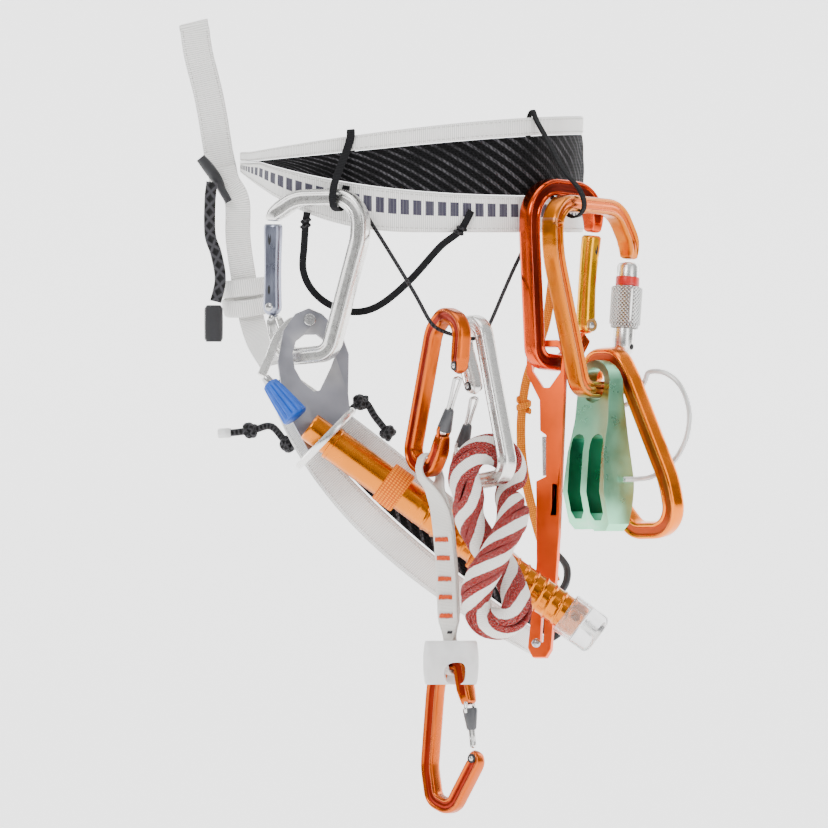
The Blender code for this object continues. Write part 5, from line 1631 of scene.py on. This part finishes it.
# ---------------------------------------------------------------- ice screw
TUBE_SLOPE, TUBE_Y, TUBE_L = 36.05, -139.5, 186.0
slope = math.radians(TUBE_SLOPE)
T_DIR = v3(math.cos(slope), 0, -math.sin(slope))
HEAD = v3(63.9, TUBE_Y, -225.6)
THREAD_FROM, THREAD_TO, PITCH = 75.0, 184.0, 6.4
side = T_DIR.orthogonal().normalized()
other = T_DIR.cross(side)
stations = [0.0, 0.4, 1.0, 1.6, 6.0, 14.6, 15.0, 15.3, 15.6, 16.4, 17.2, 17.6]
stations += [17.6 + (THREAD_FROM - 17.6) * k / 20 for k in range(1, 20)]
stations += [THREAD_FROM + (THREAD_TO - THREAD_FROM) * k / 300 for k in range(301)]
stations += [185.0, 185.7, 186.0]
core = []
for s in stations:
    if s < 0.5:
        core.append(7.5 + s)
    elif s < 15.1:
        core.append(8.2)
    elif s < 17.5:
        core.append(9.9)
    else:
        core.append(9.5 if s < 184.5 else 9.5 - 0.4 * (s - 184.5))
rings, us = [], []
for s, r in zip(stations, core):
    ring = []
    for k in range(48):
        a = 2 * math.pi * k / 48
        ridge = 0.0
        if THREAD_FROM <= s <= THREAD_TO:
            f = (s / PITCH - k / 48) % 1.0
            fade = min(1.0, (s - THREAD_FROM) / 6, (THREAD_TO - s) / 3)
            ridge = 0.75 * max(0.0, 1 - abs(f - 0.5) / 0.16) ** 0.7 * fade
        ring.append(HEAD + T_DIR * s + (side * math.cos(a) + other * math.sin(a)) * (r + ridge))
    rings.append(ring)
    us.append(s)
for s, r in ((186.0, 7.7), (185.4, 7.6), (120.0, 7.6), (60.0, 7.6), (10.0, 7.6), (7.0, 5.5), (0.3, 5.5),
             (0.0, 6.2)):
    rings.append([HEAD + T_DIR * s + (side * math.cos(2 * math.pi * k / 48)
                                      + other * math.sin(2 * math.pi * k / 48)) * r for k in range(48)])
    us.append(us[-1] + 4.0)
us.append(us[-1] + 1.0)
screw = skin("screw_tube", rings, us, [2 * math.pi * 10 * k / 48 for k in range(49)], ["tube", "dark"],
             True,
             nodes=("ice_screw_tube",), slot="orange_anodised", angle=30)
# the bore inside the tube takes the near-black material: painted shade
for i in range(len(stations) + 1, len(rings) - 2):
    for k in range(48):
        screw.data.polygons[i * 48 + k].material_index = 1
L = TUBE_L
turned("screw_cap_shell", HEAD, T_DIR,
       [(L + 13, 0.1), (L + 13, 8.4), (L + 12.6, 9.2), (L + 11.4, 11.0), (L + 10, 11.6), (L - 8.5, 11.9),
        (L - 9.6, 11.8), (L - 10, 11.3), (L - 10, 10.5), (L + 0.6, 10.4), (L + 1, 10.0), (L + 1, 0.1)],
       "cap", 56,
       nodes=("ice_screw_cap",), body="cap", slot="clear_rubber")

HG = Plane(72.8, TUBE_Y + 10.2, math.degrees(math.atan(0.157)), 0.216, -232.0)


def plate(x, z, out):
    return HG.at(x, z) + HG.normal * out


from_node("ice_screw_hanger", "hanger", "screw_hanger", 0.7, 3)
F_MID = HEAD + T_DIR * 11.5
tip_dir = math.radians(TUBE_SLOPE + 8)
F_DIR = v3(math.cos(tip_dir), 0, -math.sin(tip_dir))
turned("screw_flange_rim", F_MID, F_DIR,
       [(-1.9, 20.4), (-1.95, 21.8), (-1.2, 22.7), (0.0, 22.9), (1.2, 22.7), (1.95, 21.8), (1.9, 20.4)],
       "silver", 72, True, slot="grey_aluminium")
turned("screw_pivot_rivet", plate(63.9, -167.0, 0), -HG.normal,
       [(1.9, 0.1), (1.9, 3.4), (2.4, 3.35), (2.8, 2.9), (2.7, 1.5), (2.3, 1.3), (2.3, 0.1)], "steel", 32,
       nodes=("ice_screw_rivet",), slot="steel")
from_node("ice_screw_crank_arm", "silver", "screw_crank_arm", 0.6, 3)
K_PIV = plate(40.0, -202.5, -8.6)
K_END = v3(56.5, TUBE_Y - 1.8, -220.5)
KNOB_SIDES = 96
k_axis = (K_END - K_PIV).normalized()
n = (K_END - K_PIV).length
side = k_axis.orthogonal().normalized()
other = k_axis.cross(side)
rings, us = [], []
for k in range(41):
    s = 1.2 + (n - 1.2) * k / 40
    f = (s - 1.2) / (n - 1.2)
    r = 4.5 + 3.5 * f ** 0.85
    if f > 0.94:
        r -= 1.0 * ((f - 0.94) / 0.06) ** 2
    if f < 0.05:
        r -= 0.8 * ((0.05 - f) / 0.05) ** 2
    groove = 0.07 * min(1.0, f * 8, (1 - f) * 10)
    ring = []
    for q in range(KNOB_SIDES):
        a = 2 * math.pi * q / KNOB_SIDES
        rib = abs(math.cos(a * 6)) ** 0.6
        ring.append(K_PIV + k_axis * s
                    + (side * math.cos(a) + other * math.sin(a)) * r * (1 - groove * (1 - rib) * 2))
    rings.append(ring)
    us.append(s)
skin("screw_knob", rings, us, [2 * math.pi * 7 * q / KNOB_SIDES for q in range(KNOB_SIDES + 1)],
     "blue", False, nodes=("ice_screw_crank_knob",), body="knob", slot="blue_plastic", angle=60)
turned("screw_knob_pivot", K_PIV, k_axis,
       [(-3.2, 0.1), (-3.2, 1.8), (-2.6, 2.4), (0.4, 2.8), (0.9, 2.6), (0.9, 0.1)], "steel", 28,
       body="knob", slot="steel")

for tag, along in (("upper", 58.0), ("lower", 122.0)):
    mid = HEAD + T_DIR * along
    prof = [(-6.5, 10.45), (-6.5, 11.2), (-6.1, 11.75), (-5.2, 11.9), (-3.0, 11.8), (-1.0, 11.9),
            (1.0, 11.8),
            (3.0, 11.9), (5.2, 11.9), (6.1, 11.75), (6.5, 11.2), (6.5, 10.45)]
    turned(f"holder_{tag}", mid, T_DIR, prof, "holder", 96, True, nodes=(f"screw_holder_{tag}",),
           slot="woven_holder", angle=60)

# ---------------------------------------------------------------- backdrop
paper = Nodes("backdrop_paper", 0.9)
edge_highlight_and_speck = paper.noise(paper.place(), 300, 2)
paper.set("Base Color", paper.mix(edge_highlight_and_speck, (0.86, 0.86, 0.86, 1), (0.9, 0.9, 0.9, 1)))
paper.set("Emission Color", (1, 1, 1, 1))
paper.set("Emission Strength", 1.4)
M["backdrop"] = paper.mat
# the wall stands beyond every view's camera, and fills the same angle as seen from the harness
FLOOR_Z, WALL_Y, COVE_R = -520, 1250, 350
profile = [(-2000, FLOOR_Z), (WALL_Y - COVE_R, FLOOR_Z)]
profile += [(WALL_Y - COVE_R + COVE_R * math.sin(a), FLOOR_Z + COVE_R * (1 - math.cos(a)))
            for a in (0.3, 0.6, 0.9, 1.2, 1.5)]
profile.append((WALL_Y, 2400))
rings = [[v3(-3300, y, z), v3(3550, y, z)] for y, z in profile]
mesh = bpy.data.meshes.new("backdrop")
mesh.from_pydata([p * MM for r in rings for p in r], [],
                 [(2 * i, 2 * i + 1, 2 * i + 3, 2 * i + 2) for i in range(len(rings) - 1)])
mesh.shade_smooth()
backdrop = bpy.data.objects.new("backdrop", mesh)
bpy.context.scene.collection.objects.link(backdrop)
backdrop.data.materials.append(M["backdrop"])
